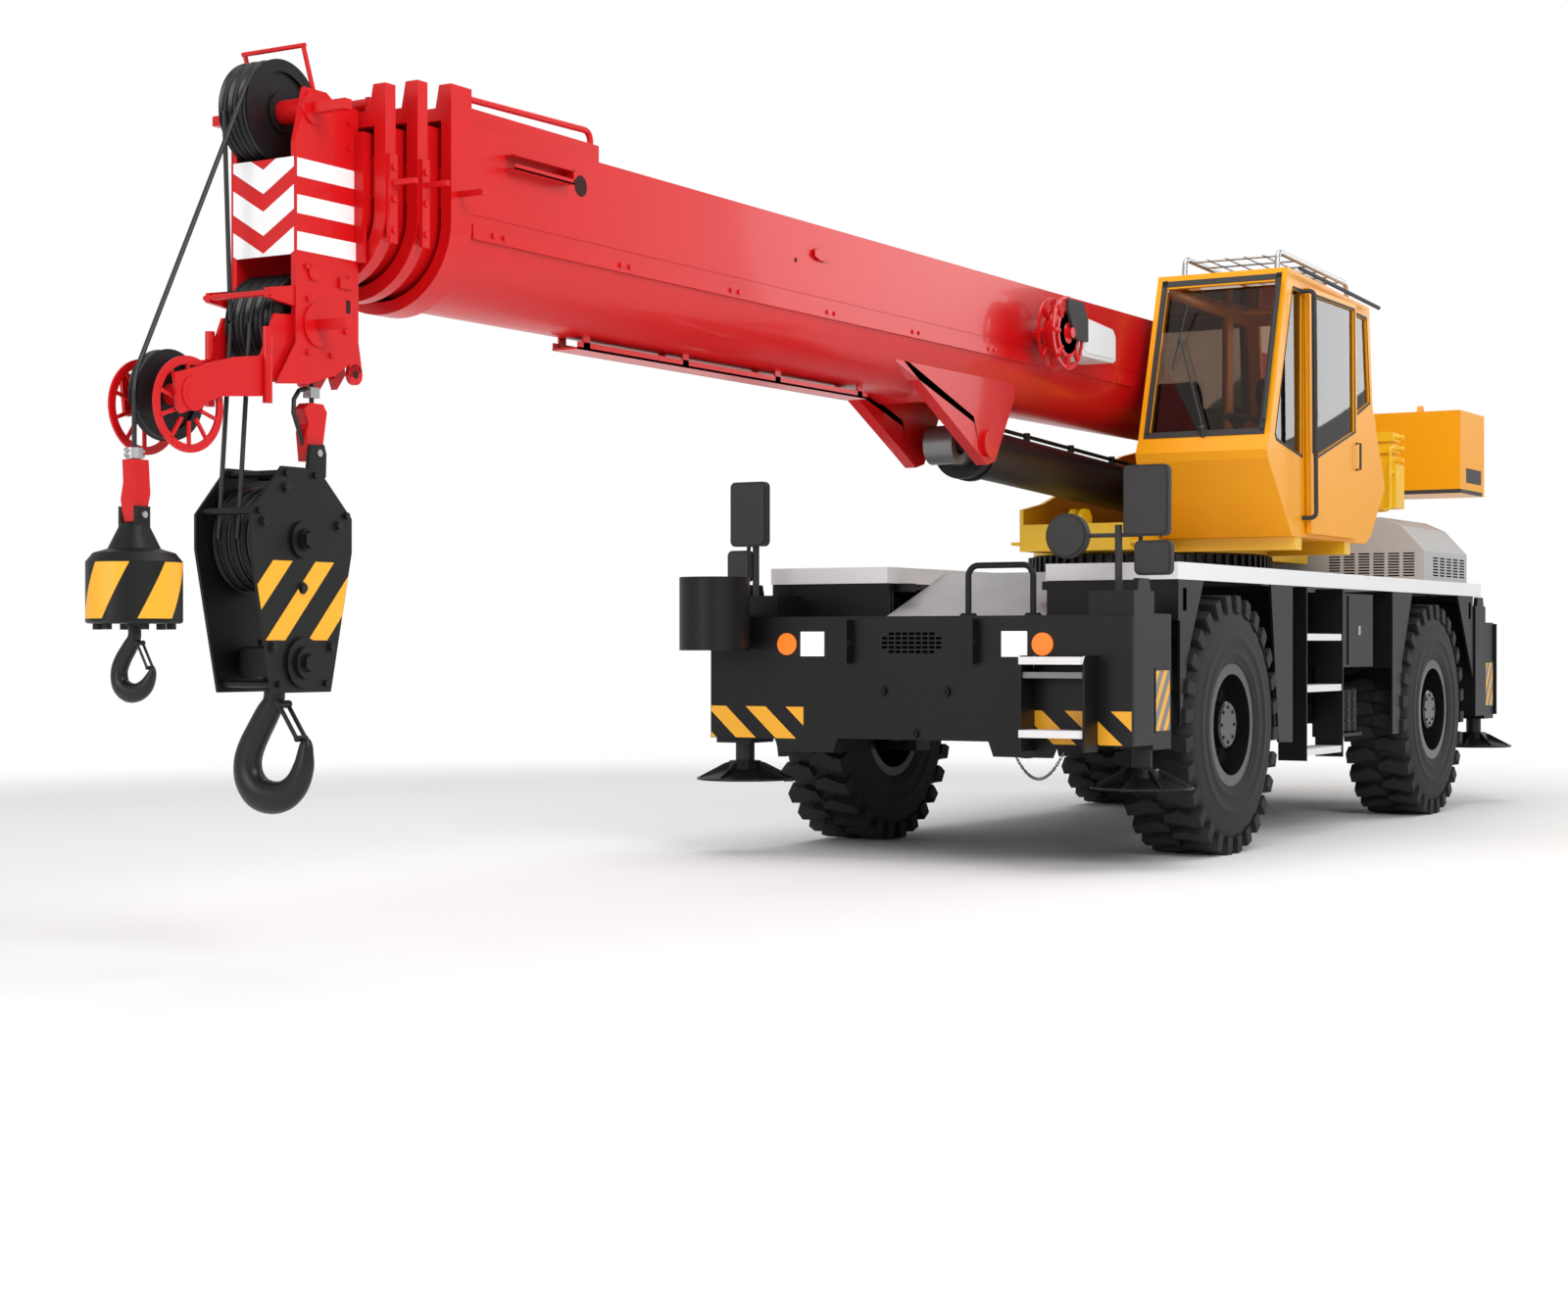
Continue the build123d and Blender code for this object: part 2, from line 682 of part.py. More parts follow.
# Cab
cab_outline = [
    (840, 1877),
    (1270, 2330),
    (1285, 2385),
    (1238, 2479),
    (913, 3524),
    (-682, 3457),
    (-756, 2800),
    (-1026, 2274),
    (-719, 1930),
    (-600, 1877),
]
cab_inside = [
    (822, 1917),
    (1229, 2345),
    (1242, 2383),
    (1199, 2468),
    (884, 3483),
    (-644, 3419),
    (-717, 2787),
    (-977, 2280),
    (-702, 1968),
    (-600, 1917),
]
with BuildPart() as cab_shell:
    side_prism(cab_outline, cab_right_y, cab_left_y)
    side_prism(cab_inside, cab_right_y + cab_wall, cab_left_y - cab_wall, mode=Mode.SUBTRACT)
    # windscreen
    side_prism(
        [(1150, 2510), (860, 3440), (1000, 3440), (1300, 2510)],
        cab_right_y + 60,
        cab_left_y - 60,
        mode=Mode.SUBTRACT,
    )
    # rear window
    side_prism(
        [(-900, 2840), (-900, 3380), (-600, 3380), (-600, 2840)],
        cab_right_y + 90,
        cab_left_y - 90,
        mode=Mode.SUBTRACT,
    )
    # roof window
    block(-400, 750, cab_right_y + 90, cab_left_y - 90, 3380, 3600, mode=Mode.SUBTRACT)
    # left side: fixed front pane, door opening, rear pane
    y_a, y_b = cab_left_y - cab_wall - 1, cab_left_y + 1
    side_prism([(660, 3400), (830, 3400), (1140, 2490), (1110, 2460), (660, 2370)], y_a, y_b, mode=Mode.SUBTRACT)
    side_prism([(-250, 1960), (-250, 3390), (570, 3400), (570, 1960)], y_a, y_b, mode=Mode.SUBTRACT)
    side_prism([(-390, 2720), (-370, 3380), (-620, 3370), (-690, 2830)], y_a, y_b, mode=Mode.SUBTRACT)
    # right side windows
    y_a, y_b = cab_right_y - 1, cab_right_y + cab_wall + 1
    side_prism([(-200, 2480), (-200, 3390), (830, 3400), (1150, 2480)], y_a, y_b, mode=Mode.SUBTRACT)
    side_prism([(-300, 2560), (-300, 3380), (-620, 3370), (-690, 2760)], y_a, y_b, mode=Mode.SUBTRACT)
save(cab_shell, "cab_shell")

with BuildPart() as cab_glass:
    # panes fill the openings, just inside the outer faces
    side_prism([(1179, 2510), (890, 3440), (896, 3440), (1185, 2510)], cab_right_y + 60, cab_left_y - 60)
    side_prism([(-712, 2840), (-652, 3380), (-658, 3380), (-718, 2840)], cab_right_y + 90, cab_left_y - 90)
    y_a, y_b = cab_left_y - 20, cab_left_y - 14
    side_prism([(660, 3400), (830, 3400), (1140, 2490), (1110, 2460), (660, 2370)], y_a, y_b)
    side_prism([(-390, 2720), (-370, 3380), (-620, 3370), (-690, 2830)], y_a, y_b)
    y_a, y_b = cab_right_y + 14, cab_right_y + 20
    side_prism([(-200, 2480), (-200, 3390), (830, 3400), (1150, 2480)], y_a, y_b)
    side_prism([(-300, 2560), (-300, 3380), (-620, 3370), (-690, 2760)], y_a, y_b)
    block(-400, 750, cab_right_y + 90, cab_left_y - 90, 3440, 3446)
save(cab_glass, "cab_glass")

with BuildPart() as cab_door:
    y_a, y_b = cab_left_y + 6, cab_left_y + 38
    side_prism([(-335, 1900), (595, 1900), (630, 3430), (-290, 3430)], y_a, y_b)
    side_prism([(-260, 2600), (480, 2390), (560, 2430), (580, 3385), (-245, 3385)], y_a - 1, y_b + 1, mode=Mode.SUBTRACT)
    # runners against the cab's side
    for x in (-40, 480):
        for z in (1905, 3400):
            block(x, x + 40, cab_left_y + seat_gap, y_a + 1, z, z + 25)
save(cab_door, "cab_door")

with BuildPart() as cab_door_glass:
    side_prism([(-260, 2600), (480, 2390), (560, 2430), (580, 3385), (-245, 3385)], cab_left_y + 18, cab_left_y + 24)
save(cab_door_glass, "cab_door_glass")

with BuildPart() as cab_roof_guard:
    for y in (cab_right_y + 120, cab_left_y - 120):
        bent_tube([(780, y, 3500), (760, y, 3650), (-560, y, 3610), (-600, y, 3440)], 50, 17)
    side_prism(cab_outline, cab_right_y, cab_left_y, mode=Mode.SUBTRACT)
    for i in range(6):
        x = 640 - i * 220
        cross_bar(x, 3646.4 - (760 - x) * 40 / 1320, cab_right_y + 120, cab_left_y - 120, 8)
    for i in range(4):
        y = cab_right_y + 120 + (i + 1) * (cab_left_y - cab_right_y - 240) / 5
        bar((700, y, 3644), (-520, y, 3608), 6)
save(cab_roof_guard, "cab_roof_guard")

with BuildPart() as operator_seat:
    block(-330, 180, 600, 1080, 2210, 2340)
    side_prism([(-330, 2330), (-180, 2330), (-300, 3010), (-420, 3010)], 610, 1070)
    block(-230, 90, 700, 980, 1917, 2211)
save(operator_seat, "operator_seat")

with BuildPart() as cab_controls:
    # consoles beside the seat, steering column and wheel
    block(-250, 350, 452, 560, 1917, 2500)
    block(-150, 250, 1110, 1180, 1917, 2450)
    bar((780, 800, 1950), (554, 800, 2577), 35)
    block(730, 815, 755, 845, 1917, 1990)
    with BuildSketch(Plane(origin=(560, 800, 2570), z_dir=(-0.34, 0, 0.94))):
        Circle(200)
        Circle(175, mode=Mode.SUBTRACT)
        Rectangle(360, 30)
    extrude(amount=26)
    side_prism([(900, 2400), (1233.2, 2400), (1241.8, 2383), (1228.8, 2345), (1043.3, 2150), (960, 2150)], 500, 1100)
save(cab_controls, "cab_controls")


# Boom
def tube_face(step, inset, x):
    """The outline of a boom section at a station: flat top and sides over a half-round bottom."""
    half = boom_half_width - step * section_step - inset
    high = boom_high - step * section_step - inset
    arc_z = boom_low + boom_half_width
    with BuildSketch(Plane.YZ.offset(x)) as outline:
        with BuildLine():
            Polyline((half, arc_z), (half, high), (-half, high), (-half, arc_z))
            ThreePointArc((-half, arc_z), (0, arc_z - half), (half, arc_z))
        make_face()
    return outline.sketch


def boom_tube(step, x_rear, x_front, inset=0.0, mode=Mode.ADD):
    """One boom section between two stations, solid until its bore is cut."""
    extrude(tube_face(step, inset, x_rear), amount=x_front - x_rear, dir=(1, 0, 0), mode=mode)


def boom_pads(step, x_front):
    """Wear pads inside a section's front end, against the next section's sides and top."""
    inner = boom_half_width - (step + 1) * section_step + seat_gap
    outer = boom_half_width - step * section_step - boom_wall + 1
    top = boom_high - (step + 1) * section_step + seat_gap
    for side in (-1, 1):
        block(x_front - 90, x_front - 20, min(side * inner, side * outer), max(side * inner, side * outer), 2920, 3080)
    block(x_front - 90, x_front - 20, -120, 120, top, boom_high - step * section_step - boom_wall + 1)


def boom_collar(step, x_rear, x_front, rise, proud):
    """The stiffening collar at a section's front, with its two ears above the top plate."""
    half = boom_half_width - step * section_step + proud
    arc_z = boom_low + boom_half_width
    top = boom_high - step * section_step + rise
    with BuildSketch(Plane.YZ.offset(x_rear)) as band:
        with BuildLine():
            Polyline((half, arc_z), (half, top), (half - 60, top), (half - 80, top - 100))
            Polyline((half - 80, top - 100), (80 - half, top - 100), (60 - half, top), (-half, top), (-half, arc_z))
            ThreePointArc((-half, arc_z), (0, arc_z - half), (half, arc_z))
        make_face()
    extrude(band.sketch, amount=x_front - x_rear, dir=(1, 0, 0))


with BuildPart() as boom_base:
    boom_tube(0, boom_rear_x, collar_front_x)
    boom_collar(0, collar_front_x - 130, collar_front_x, 130, 40)
    # side strips, top frame and the trunnions of the foot
    for side in (-1, 1):
        y_a, y_b = side * (boom_half_width - 1), side * (boom_half_width + 12)
        block(1150, 7800, min(y_a, y_b), max(y_a, y_b), 2880 - 60, 2878)
        y_a, y_b = side * (boom_half_width - boom_wall), side * (side_plate_y + side_plate_wall + 24)
        cross_bar(boom_pivot_x, boom_pivot_z, min(y_a, y_b), max(y_a, y_b), trunnion_radius)
        y_b = side * (side_plate_y - 24)
        cross_bar(boom_pivot_x, boom_pivot_z, min(y_a, y_b), max(y_a, y_b), 150)
        # ears of the luffing cylinder's bracket
        y_a, y_b = side * 190, side * 260
        side_prism(
            [(4145, 2746), (3228, 2300), (3060, 2215), (2960, 2240), (2900, 2330), (2701, 2626), (2726, 2848)],
            min(y_a, y_b),
            max(y_a, y_b),
        )
    block(6830, 7850, -250, -200, boom_high - 1, boom_high + 90)
    block(6830, 7850, 200, 250, boom_high - 1, boom_high + 90)
    block(6830, 6900, -250, 250, boom_high - 1, boom_high + 90)
    boom_tube(0, boom_rear_x - 1, collar_front_x + 1, boom_wall, Mode.SUBTRACT)
    boom_pads(0, collar_front_x)
save(boom_base, "boom_base")

section_fronts = (collar_front_x, collar_front_x + collar_step_x, collar_front_x + collar_step_x + 150)
for step, name in ((1, "boom_section_2"), (2, "boom_section_3")):
    with BuildPart() as section:
        boom_tube(step, -2000 + 200 * step, section_fronts[step])
        boom_collar(step, section_fronts[step] - 60, section_fronts[step], 150, 45)
        boom_tube(step, -2100, section_fronts[step] + 1, boom_wall, Mode.SUBTRACT)
        boom_pads(step, section_fronts[step])
    save(section, name)

with BuildPart() as boom_head:
    boom_tube(3, -1400, 8330)
    boom_tube(3, -1401, 8300, boom_wall, Mode.SUBTRACT)
    for side in (-1, 1):
        y_a, y_b = side * 135, side * 155
        side_prism(
            [
                (8303, 2520),
                (8330, 2400),
                (8400, 2270),
                (8520, 2200),
                (8650, 2200),
                (8655, 2500),
                (8655, 3080),
                (8600, 3290),
                (8480, 3290),
                (8303, 3180),
            ],
            min(y_a, y_b),
            max(y_a, y_b),
        )
    block(8643, 8655, -136, 136, 2660, 3022)
    block(8303, 8320, -200, 200, 2668, 3160)
    cross_bar(top_sheave_x, top_sheave_z, -165, 165, 45)
    cross_bar(low_sheave_x, low_sheave_z, -165, 165, 45)
    for side in (-1, 1):
        y_a, y_b = side * 30, side * 60
        side_prism([(8303, 2672), (8303, 2560), (8262, 2250), (8310, 2190), (8328, 2230), (8328, 2672)], min(y_a, y_b), max(y_a, y_b))
save(boom_head, "boom_head")

with BuildPart() as head_sheaves:
    for x, z, places in (
        (top_sheave_x, top_sheave_z, (-105, -57, -9)),
        (low_sheave_x, low_sheave_z, (-96, -48, 0, 48, 96)),
    ):
        for y in places:
            with BuildSketch(Plane(origin=(x, y, z), x_dir=(1, 0, 0), z_dir=(0, 0, 1))):
                Polygon(
                    (45 + seat_gap, -23),
                    (sheave_radius, -23),
                    (groove_radius, -12),
                    (groove_radius, 12),
                    (sheave_radius, 23),
                    (45 + seat_gap, 23),
                    align=None,
                )
            revolve(axis=Axis((x, 0, z), (0, 1, 0)))
save(head_sheaves, "head_sheaves")

with BuildPart() as aux_arm:
    for side in (-1, 1):
        y_a, y_b = side * 121, side * 135
        side_prism(
            [(8590, 2215), (8590, 2440), (8850, 2440), (9180, 2200), (9180, 2020), (8900, 2210)],
            min(y_a, y_b),
            max(y_a, y_b),
        )
        cross_bar(aux_sheave_x, aux_sheave_z, min(y_a, y_b), max(y_a, y_b), 95)
    block(8800, 8812, -122, 122, 2240, 2430)
    cross_bar(aux_sheave_x, aux_sheave_z, -140, 140, 40)
    with BuildSketch(Plane(origin=(aux_sheave_x, 0, aux_sheave_z), x_dir=(1, 0, 0), z_dir=(0, 0, 1))):
        Polygon((40, -23), (sheave_radius, -23), (groove_radius, -12), (groove_radius, 12), (sheave_radius, 23), (40, 23), align=None)
    revolve(axis=Axis((aux_sheave_x, 0, aux_sheave_z), (0, 1, 0)))
save(aux_arm, "aux_arm")

with BuildPart() as cable_reel:
    cross_bar(2560, 2990, boom_half_width, 560, 30)
    cross_bar(2560, 2990, 430, 440, 210)
    cross_bar(2560, 2990, 520, 530, 210)
    cross_bar(2560, 2990, 430, 530, 120)
save(cable_reel, "cable_reel")

# Luffing cylinder, which lies along its own slope
luff_slope = atan2(luff_pin_z - luff_foot_z, luff_pin_x - luff_foot_x)


def luff_point(along, off=0.0):
    """A point on the luffing cylinder, from its foot along the slope."""
    x = luff_foot_x + along * cos(luff_slope) - off * sin(luff_slope)
    z = luff_foot_z + along * sin(luff_slope) + off * cos(luff_slope)
    return (x, 0.0, z)


luff_length = hypot(luff_pin_x - luff_foot_x, luff_pin_z - luff_foot_z)
with BuildPart() as luff_barrel:
    bar(luff_point(90), luff_point(luff_length - 330), barrel_radius)
    bar(luff_point(luff_length - 330), luff_point(luff_length - 210), barrel_radius + 20)
    cross_bar(luff_foot_x, luff_foot_z, -110, 110, 130)
    bar(luff_point(300), luff_point(luff_length - 200), rod_radius + running_gap, mode=Mode.SUBTRACT)
    cross_bar(luff_foot_x, luff_foot_z, -112, 112, 55 + running_gap, mode=Mode.SUBTRACT)
save(luff_barrel, "luff_barrel")

with BuildPart() as luff_rod:
    bar(luff_point(320), luff_point(luff_length - 60), rod_radius)
    cross_bar(luff_pin_x, luff_pin_z, -90, 90, 110)
    cross_bar(luff_pin_x, luff_pin_z, -92, 92, 60, mode=Mode.SUBTRACT)
save(luff_rod, "luff_rod")

# Main hook block
block_x = low_sheave_x + 65
with BuildPart() as main_block:
    for side in (-1, 1):
        y_a, y_b = side * (block_half_width - 12), side * block_half_width
        side_prism(
            [
                (block_x - 90, 1870),
                (block_x + 110, 1870),
                (block_x + 275, 1690),
                (block_x + 275, 1560),
                (block_x + 160, 1030),
                (block_x - 160, 1030),
                (block_x - 280, 1560),
                (block_x - 280, 1690),
            ],
            min(y_a, y_b),
            max(y_a, y_b),
        )
    cross_bar(block_x, block_sheave_z, -170, 170, 40)
    cross_bar(block_x, 1141, -170, 170, 60)
    for y in (-96, -48, 0, 48, 96):
        with BuildSketch(Plane(origin=(block_x, y, block_sheave_z), x_dir=(1, 0, 0), z_dir=(0, 0, 1))):
            Polygon((40, -23), (200, -23), (184, -12), (184, 12), (200, 23), (40, 23), align=None)
        revolve(axis=Axis((block_x, 0, block_sheave_z), (0, 1, 0)))
    with Locations((block_x, 0, 1141)):
        Box(150, 200, 110)
        Cylinder(42 + running_gap, 120, mode=Mode.SUBTRACT)
save(main_block, "main_block")

falls_x = low_sheave_x + groove_radius + rope_radius + seat_gap
with BuildPart() as main_falls:
    for y in (-96, 0):
        bar((block_x + groove_radius + rope_radius + 1, y, block_sheave_z), (falls_x, y, low_sheave_z), rope_radius)
save(main_falls, "main_falls")

with BuildPart() as main_hook:
    with BuildSketch(Plane.YZ.offset(block_x - 42)):
        with BuildLine():
            Polyline((42, 1080), (-42, 1080), (-42, 985))
            ThreePointArc((-42, 985), (-125, 880), (-190, 755))
            ThreePointArc((-190, 755), (0, 570), (190, 755))
            Polyline((190, 755), (186, 850), (150, 868), (115, 845), (105, 790))
            ThreePointArc((105, 790), (10, 688), (-75, 770))
            ThreePointArc((-75, 770), (-30, 870), (42, 950))
            Line((42, 950), (42, 1080))
        make_face()
    extrude(amount=84)
    with Locations((block_x, 0, 1150)):
        Cylinder(42, 150)
    with Locations((block_x, 0, 1216)):
        Cylinder(60, 24)
    with BuildSketch(Plane.YZ.offset(block_x - 20)):
        Polygon((30, 1000), (55, 1000), (150, 860), (125, 850), align=None)
    extrude(amount=40)
save(main_hook, "main_hook")

# Auxiliary hook
with BuildPart() as aux_rope:
    bar((aux_hook_x + seat_gap, 0, aux_sheave_z), (aux_hook_x + seat_gap, 0, 1800), rope_radius)
    bar((aux_hook_x + seat_gap, 0, 1900), (aux_hook_x + seat_gap, 0, 1700), 32)
    with BuildSketch(Plane(origin=(aux_hook_x, 0, 0), x_dir=(1, 0, 0), z_dir=(0, -1, 0))):
        Polygon(
            (0, 1283),
            (aux_weight_radius, 1283),
            (aux_weight_radius, 1500),
            (aux_weight_radius - 25, 1531),
            (80, 1540),
            (30, 1700),
            (0, 1700),
            align=None,
        )
    revolve(axis=Axis((aux_hook_x, 0, 0), (0, 0, 1)))
    with Locations((aux_hook_x, 0, 1330)):
        Cylinder(30 + running_gap, 100, mode=Mode.SUBTRACT)
save(aux_rope, "aux_weight")

with BuildPart() as aux_hook:
    with BuildSketch(Plane.YZ.offset(aux_hook_x - 25)):
        with BuildLine():
            Polyline((24, 1277), (-24, 1277), (-24, 1240))
            ThreePointArc((-24, 1240), (-85, 1190), (-105, 1120))
            ThreePointArc((-105, 1120), (-10, 1004), (95, 1090))
            Polyline((95, 1090), (105, 1130), (85, 1140), (60, 1110), (50, 1095))
            ThreePointArc((50, 1095), (0, 1070), (-45, 1120))
            ThreePointArc((-45, 1120), (-20, 1170), (24, 1215))
            Line((24, 1215), (24, 1277))
        make_face()
    extrude(amount=50)
    with Locations((aux_hook_x, 0, 1323)):
        Cylinder(30, 96)
save(aux_hook, "aux_hook")
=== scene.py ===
"""Looks of the rough terrain crane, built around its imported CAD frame.

Lengths are metres in the row frame: +X to the front, +Y to the left, +Z up.
"""

import logging
import math
from dataclasses import dataclass, field
from enum import Enum
from typing import Iterable, Iterator, Optional, Sequence, Union

import bpy
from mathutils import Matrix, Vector


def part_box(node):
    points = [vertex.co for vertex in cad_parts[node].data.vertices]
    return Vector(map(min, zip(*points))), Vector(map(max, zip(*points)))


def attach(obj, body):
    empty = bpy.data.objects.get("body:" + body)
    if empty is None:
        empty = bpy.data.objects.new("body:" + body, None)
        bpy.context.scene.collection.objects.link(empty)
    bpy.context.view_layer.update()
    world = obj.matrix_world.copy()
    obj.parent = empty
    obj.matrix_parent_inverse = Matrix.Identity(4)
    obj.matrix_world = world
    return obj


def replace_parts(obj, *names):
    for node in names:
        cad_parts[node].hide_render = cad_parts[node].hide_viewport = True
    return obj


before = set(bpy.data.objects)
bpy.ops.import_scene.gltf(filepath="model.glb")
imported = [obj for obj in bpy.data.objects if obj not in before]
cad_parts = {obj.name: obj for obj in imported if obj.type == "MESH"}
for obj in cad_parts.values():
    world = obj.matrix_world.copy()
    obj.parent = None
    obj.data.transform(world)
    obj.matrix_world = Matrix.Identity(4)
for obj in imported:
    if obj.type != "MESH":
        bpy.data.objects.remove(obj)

log = logging.getLogger("crane")

Point = Sequence[float]
WHEELBASE_MIDDLE = -2.886
AXLE_X = (WHEELBASE_MIDDLE + 1.995, WHEELBASE_MIDDLE - 1.995)
AXLE_HEIGHT = 0.746
BLOCK_X = 8.6
WEIGHT_X = 9.315


def at(x: float) -> float:
    """Turns a length from the middle of the wheelbase into the row frame's X."""
    return x + WHEELBASE_MIDDLE


class Axis(Enum):
    """Directions that plates and bolts face."""

    PLUS_X = (1.0, 0.0, 0.0)
    MINUS_X = (-1.0, 0.0, 0.0)
    PLUS_Y = (0.0, 1.0, 0.0)
    MINUS_Y = (0.0, -1.0, 0.0)
    PLUS_Z = (0.0, 0.0, 1.0)


class Slot(Enum):
    """The record's material slots."""

    TYRE = "tyre"
    BLACK = "black_paint"
    RIM = "rim_paint"
    WHITE = "white_paint"
    RED = "red_paint"
    ORANGE = "orange_paint"
    YELLOW = "yellow_paint"
    GREY = "grey_paint"
    DARK_STEEL = "dark_steel"
    STEEL = "steel"
    CHROME = "chrome"
    GLASS = "glass"
    SEAT = "seat_fabric"
    PLASTIC = "black_plastic"
    LAMP = "lamp_plastic"


def add_socket(
    tree: bpy.types.NodeTree, name: str, kind: str, value: Optional[float] = None, out: bool = False
) -> None:
    """Adds a socket to a group of nodes.

    Args:
        tree: Group to change.
        name: Socket name.
        kind: Socket type.
        value: Default value, if any.
        out: True for an output.
    """
    way = "OUTPUT" if out else "INPUT"
    socket = tree.interface.new_socket(name=name, in_out=way, socket_type=kind)
    if value is not None:
        socket.default_value = value


class EffectLibrary:
    """The shader node group that every finish shares."""

    def __init__(self) -> None:
        """Builds the group once."""
        self.grain = self._grain()

    def _grain(self) -> bpy.types.NodeTree:
        """Builds fine waviness and mottling.

        Returns:
            A group with a Mottle value and a Normal.
        """
        tree = bpy.data.node_groups.new("surface_grain", "ShaderNodeTree")
        add_socket(tree, "Scale", "NodeSocketFloat", 40.0)
        add_socket(tree, "Relief", "NodeSocketFloat", 0.05)
        add_socket(tree, "Mottle", "NodeSocketFloat", out=True)
        add_socket(tree, "Normal", "NodeSocketVector", out=True)
        nodes, links = tree.nodes, tree.links
        given, result = nodes.new("NodeGroupInput"), nodes.new("NodeGroupOutput")
        place = nodes.new("ShaderNodeTexCoord")
        noise = nodes.new("ShaderNodeTexNoise")
        noise.inputs["Detail"].default_value = 3.0
        broad = nodes.new("ShaderNodeTexNoise")
        broad.inputs["Scale"].default_value = 1.7
        bump = nodes.new("ShaderNodeBump")
        bump.inputs["Distance"].default_value = 0.002
        links.new(place.outputs["Object"], noise.inputs["Vector"])
        links.new(place.outputs["Object"], broad.inputs["Vector"])
        links.new(given.outputs["Scale"], noise.inputs["Scale"])
        links.new(given.outputs["Relief"], bump.inputs["Strength"])
        links.new(noise.outputs["Fac"], bump.inputs["Height"])
        links.new(broad.outputs["Fac"], result.inputs["Mottle"])
        links.new(bump.outputs["Normal"], result.inputs["Normal"])
        return tree


@dataclass(frozen=True)
class Finish:
    """One surface finish.

    Attributes:
        name: Material name.
        slot: Record slot that the finish belongs to, not used by the script.
        colour: Linear base colour.
        roughness: Microfacet roughness.
        metallic: Share of metal.
        coat: Clear coat weight.
        relief: Strength of the fine grain.
        grain_scale: Size of the grain, larger is finer.
        mottle: How far the colour wanders.
        glow: Emission strength, painted brightness for white signs under flat light.
        shine: Specular level.
    """

    name: str
    slot: Slot
    colour: tuple
    roughness: float = 0.4
    metallic: float = 0.0
    coat: float = 0.0
    relief: float = 0.0
    grain_scale: float = 60.0
    mottle: float = 0.04
    glow: float = 0.0
    shine: float = 0.5

    def build(self, effects: EffectLibrary) -> bpy.types.Material:
        """Makes the material, or returns the one already made.

        Args:
            effects: Shared node groups.

        Returns:
            The material.
        """
        known = bpy.data.materials.get(self.name)
        if known is not None:
            return known
        material = bpy.data.materials.new(self.name)
        material.use_nodes = True
        nodes, links = material.node_tree.nodes, material.node_tree.links
        shader = nodes["Principled BSDF"]
        shader.inputs["Base Color"].default_value = (*self.colour, 1.0)
        shader.inputs["Roughness"].default_value = self.roughness
        shader.inputs["Metallic"].default_value = self.metallic
        shader.inputs["Coat Weight"].default_value = self.coat
        shader.inputs["Specular IOR Level"].default_value = self.shine
        shader.inputs["Coat Roughness"].default_value = 0.06
        if self.glow:
            shader.inputs["Emission Color"].default_value = (*self.colour, 1.0)
            shader.inputs["Emission Strength"].default_value = self.glow
        if self.relief or self.mottle:
            grain = nodes.new("ShaderNodeGroup")
            grain.node_tree = effects.grain
            grain.inputs["Scale"].default_value = self.grain_scale
            grain.inputs["Relief"].default_value = self.relief
            tint = nodes.new("ShaderNodeMixRGB")
            tint.inputs[1].default_value = self._shade(1.0 - self.mottle)
            tint.inputs[2].default_value = self._shade(1.0 + self.mottle)
            links.new(grain.outputs["Mottle"], tint.inputs[0])
            links.new(tint.outputs[0], shader.inputs["Base Color"])
            if self.relief:
                links.new(grain.outputs["Normal"], shader.inputs["Normal"])
        return material

    def _shade(self, share: float) -> tuple:
        """Scales the base colour."""
        return (*(min(1.0, c * share) for c in self.colour), 1.0)


@dataclass(frozen=True)
class TintedGlass(Finish):
    """Brown tinted safety glass, clear from both sides."""

    def build(self, effects: EffectLibrary) -> bpy.types.Material:
        """Makes the glass from a tinted filter under a mirror layer.

        Args:
            effects: Shared node groups, not used here.

        Returns:
            The material.
        """
        known = bpy.data.materials.get(self.name)
        if known is not None:
            return known
        material = bpy.data.materials.new(self.name)
        material.use_nodes = True
        nodes, links = material.node_tree.nodes, material.node_tree.links
        nodes.clear()
        out = nodes.new("ShaderNodeOutputMaterial")
        filter_node = nodes.new("ShaderNodeBsdfTransparent")
        filter_node.inputs["Color"].default_value = (*self.colour, 1.0)
        mirror = nodes.new("ShaderNodeBsdfGlossy")
        mirror.inputs["Roughness"].default_value = self.roughness
        mirror.inputs["Color"].default_value = (0.9, 0.9, 0.9, 1.0)
        fresnel = nodes.new("ShaderNodeFresnel")
        fresnel.inputs["IOR"].default_value = 1.45
        mix = nodes.new("ShaderNodeMixShader")
        links.new(fresnel.outputs[0], mix.inputs[0])
        links.new(filter_node.outputs[0], mix.inputs[1])
        links.new(mirror.outputs[0], mix.inputs[2])
        links.new(mix.outputs[0], out.inputs["Surface"])
        return material


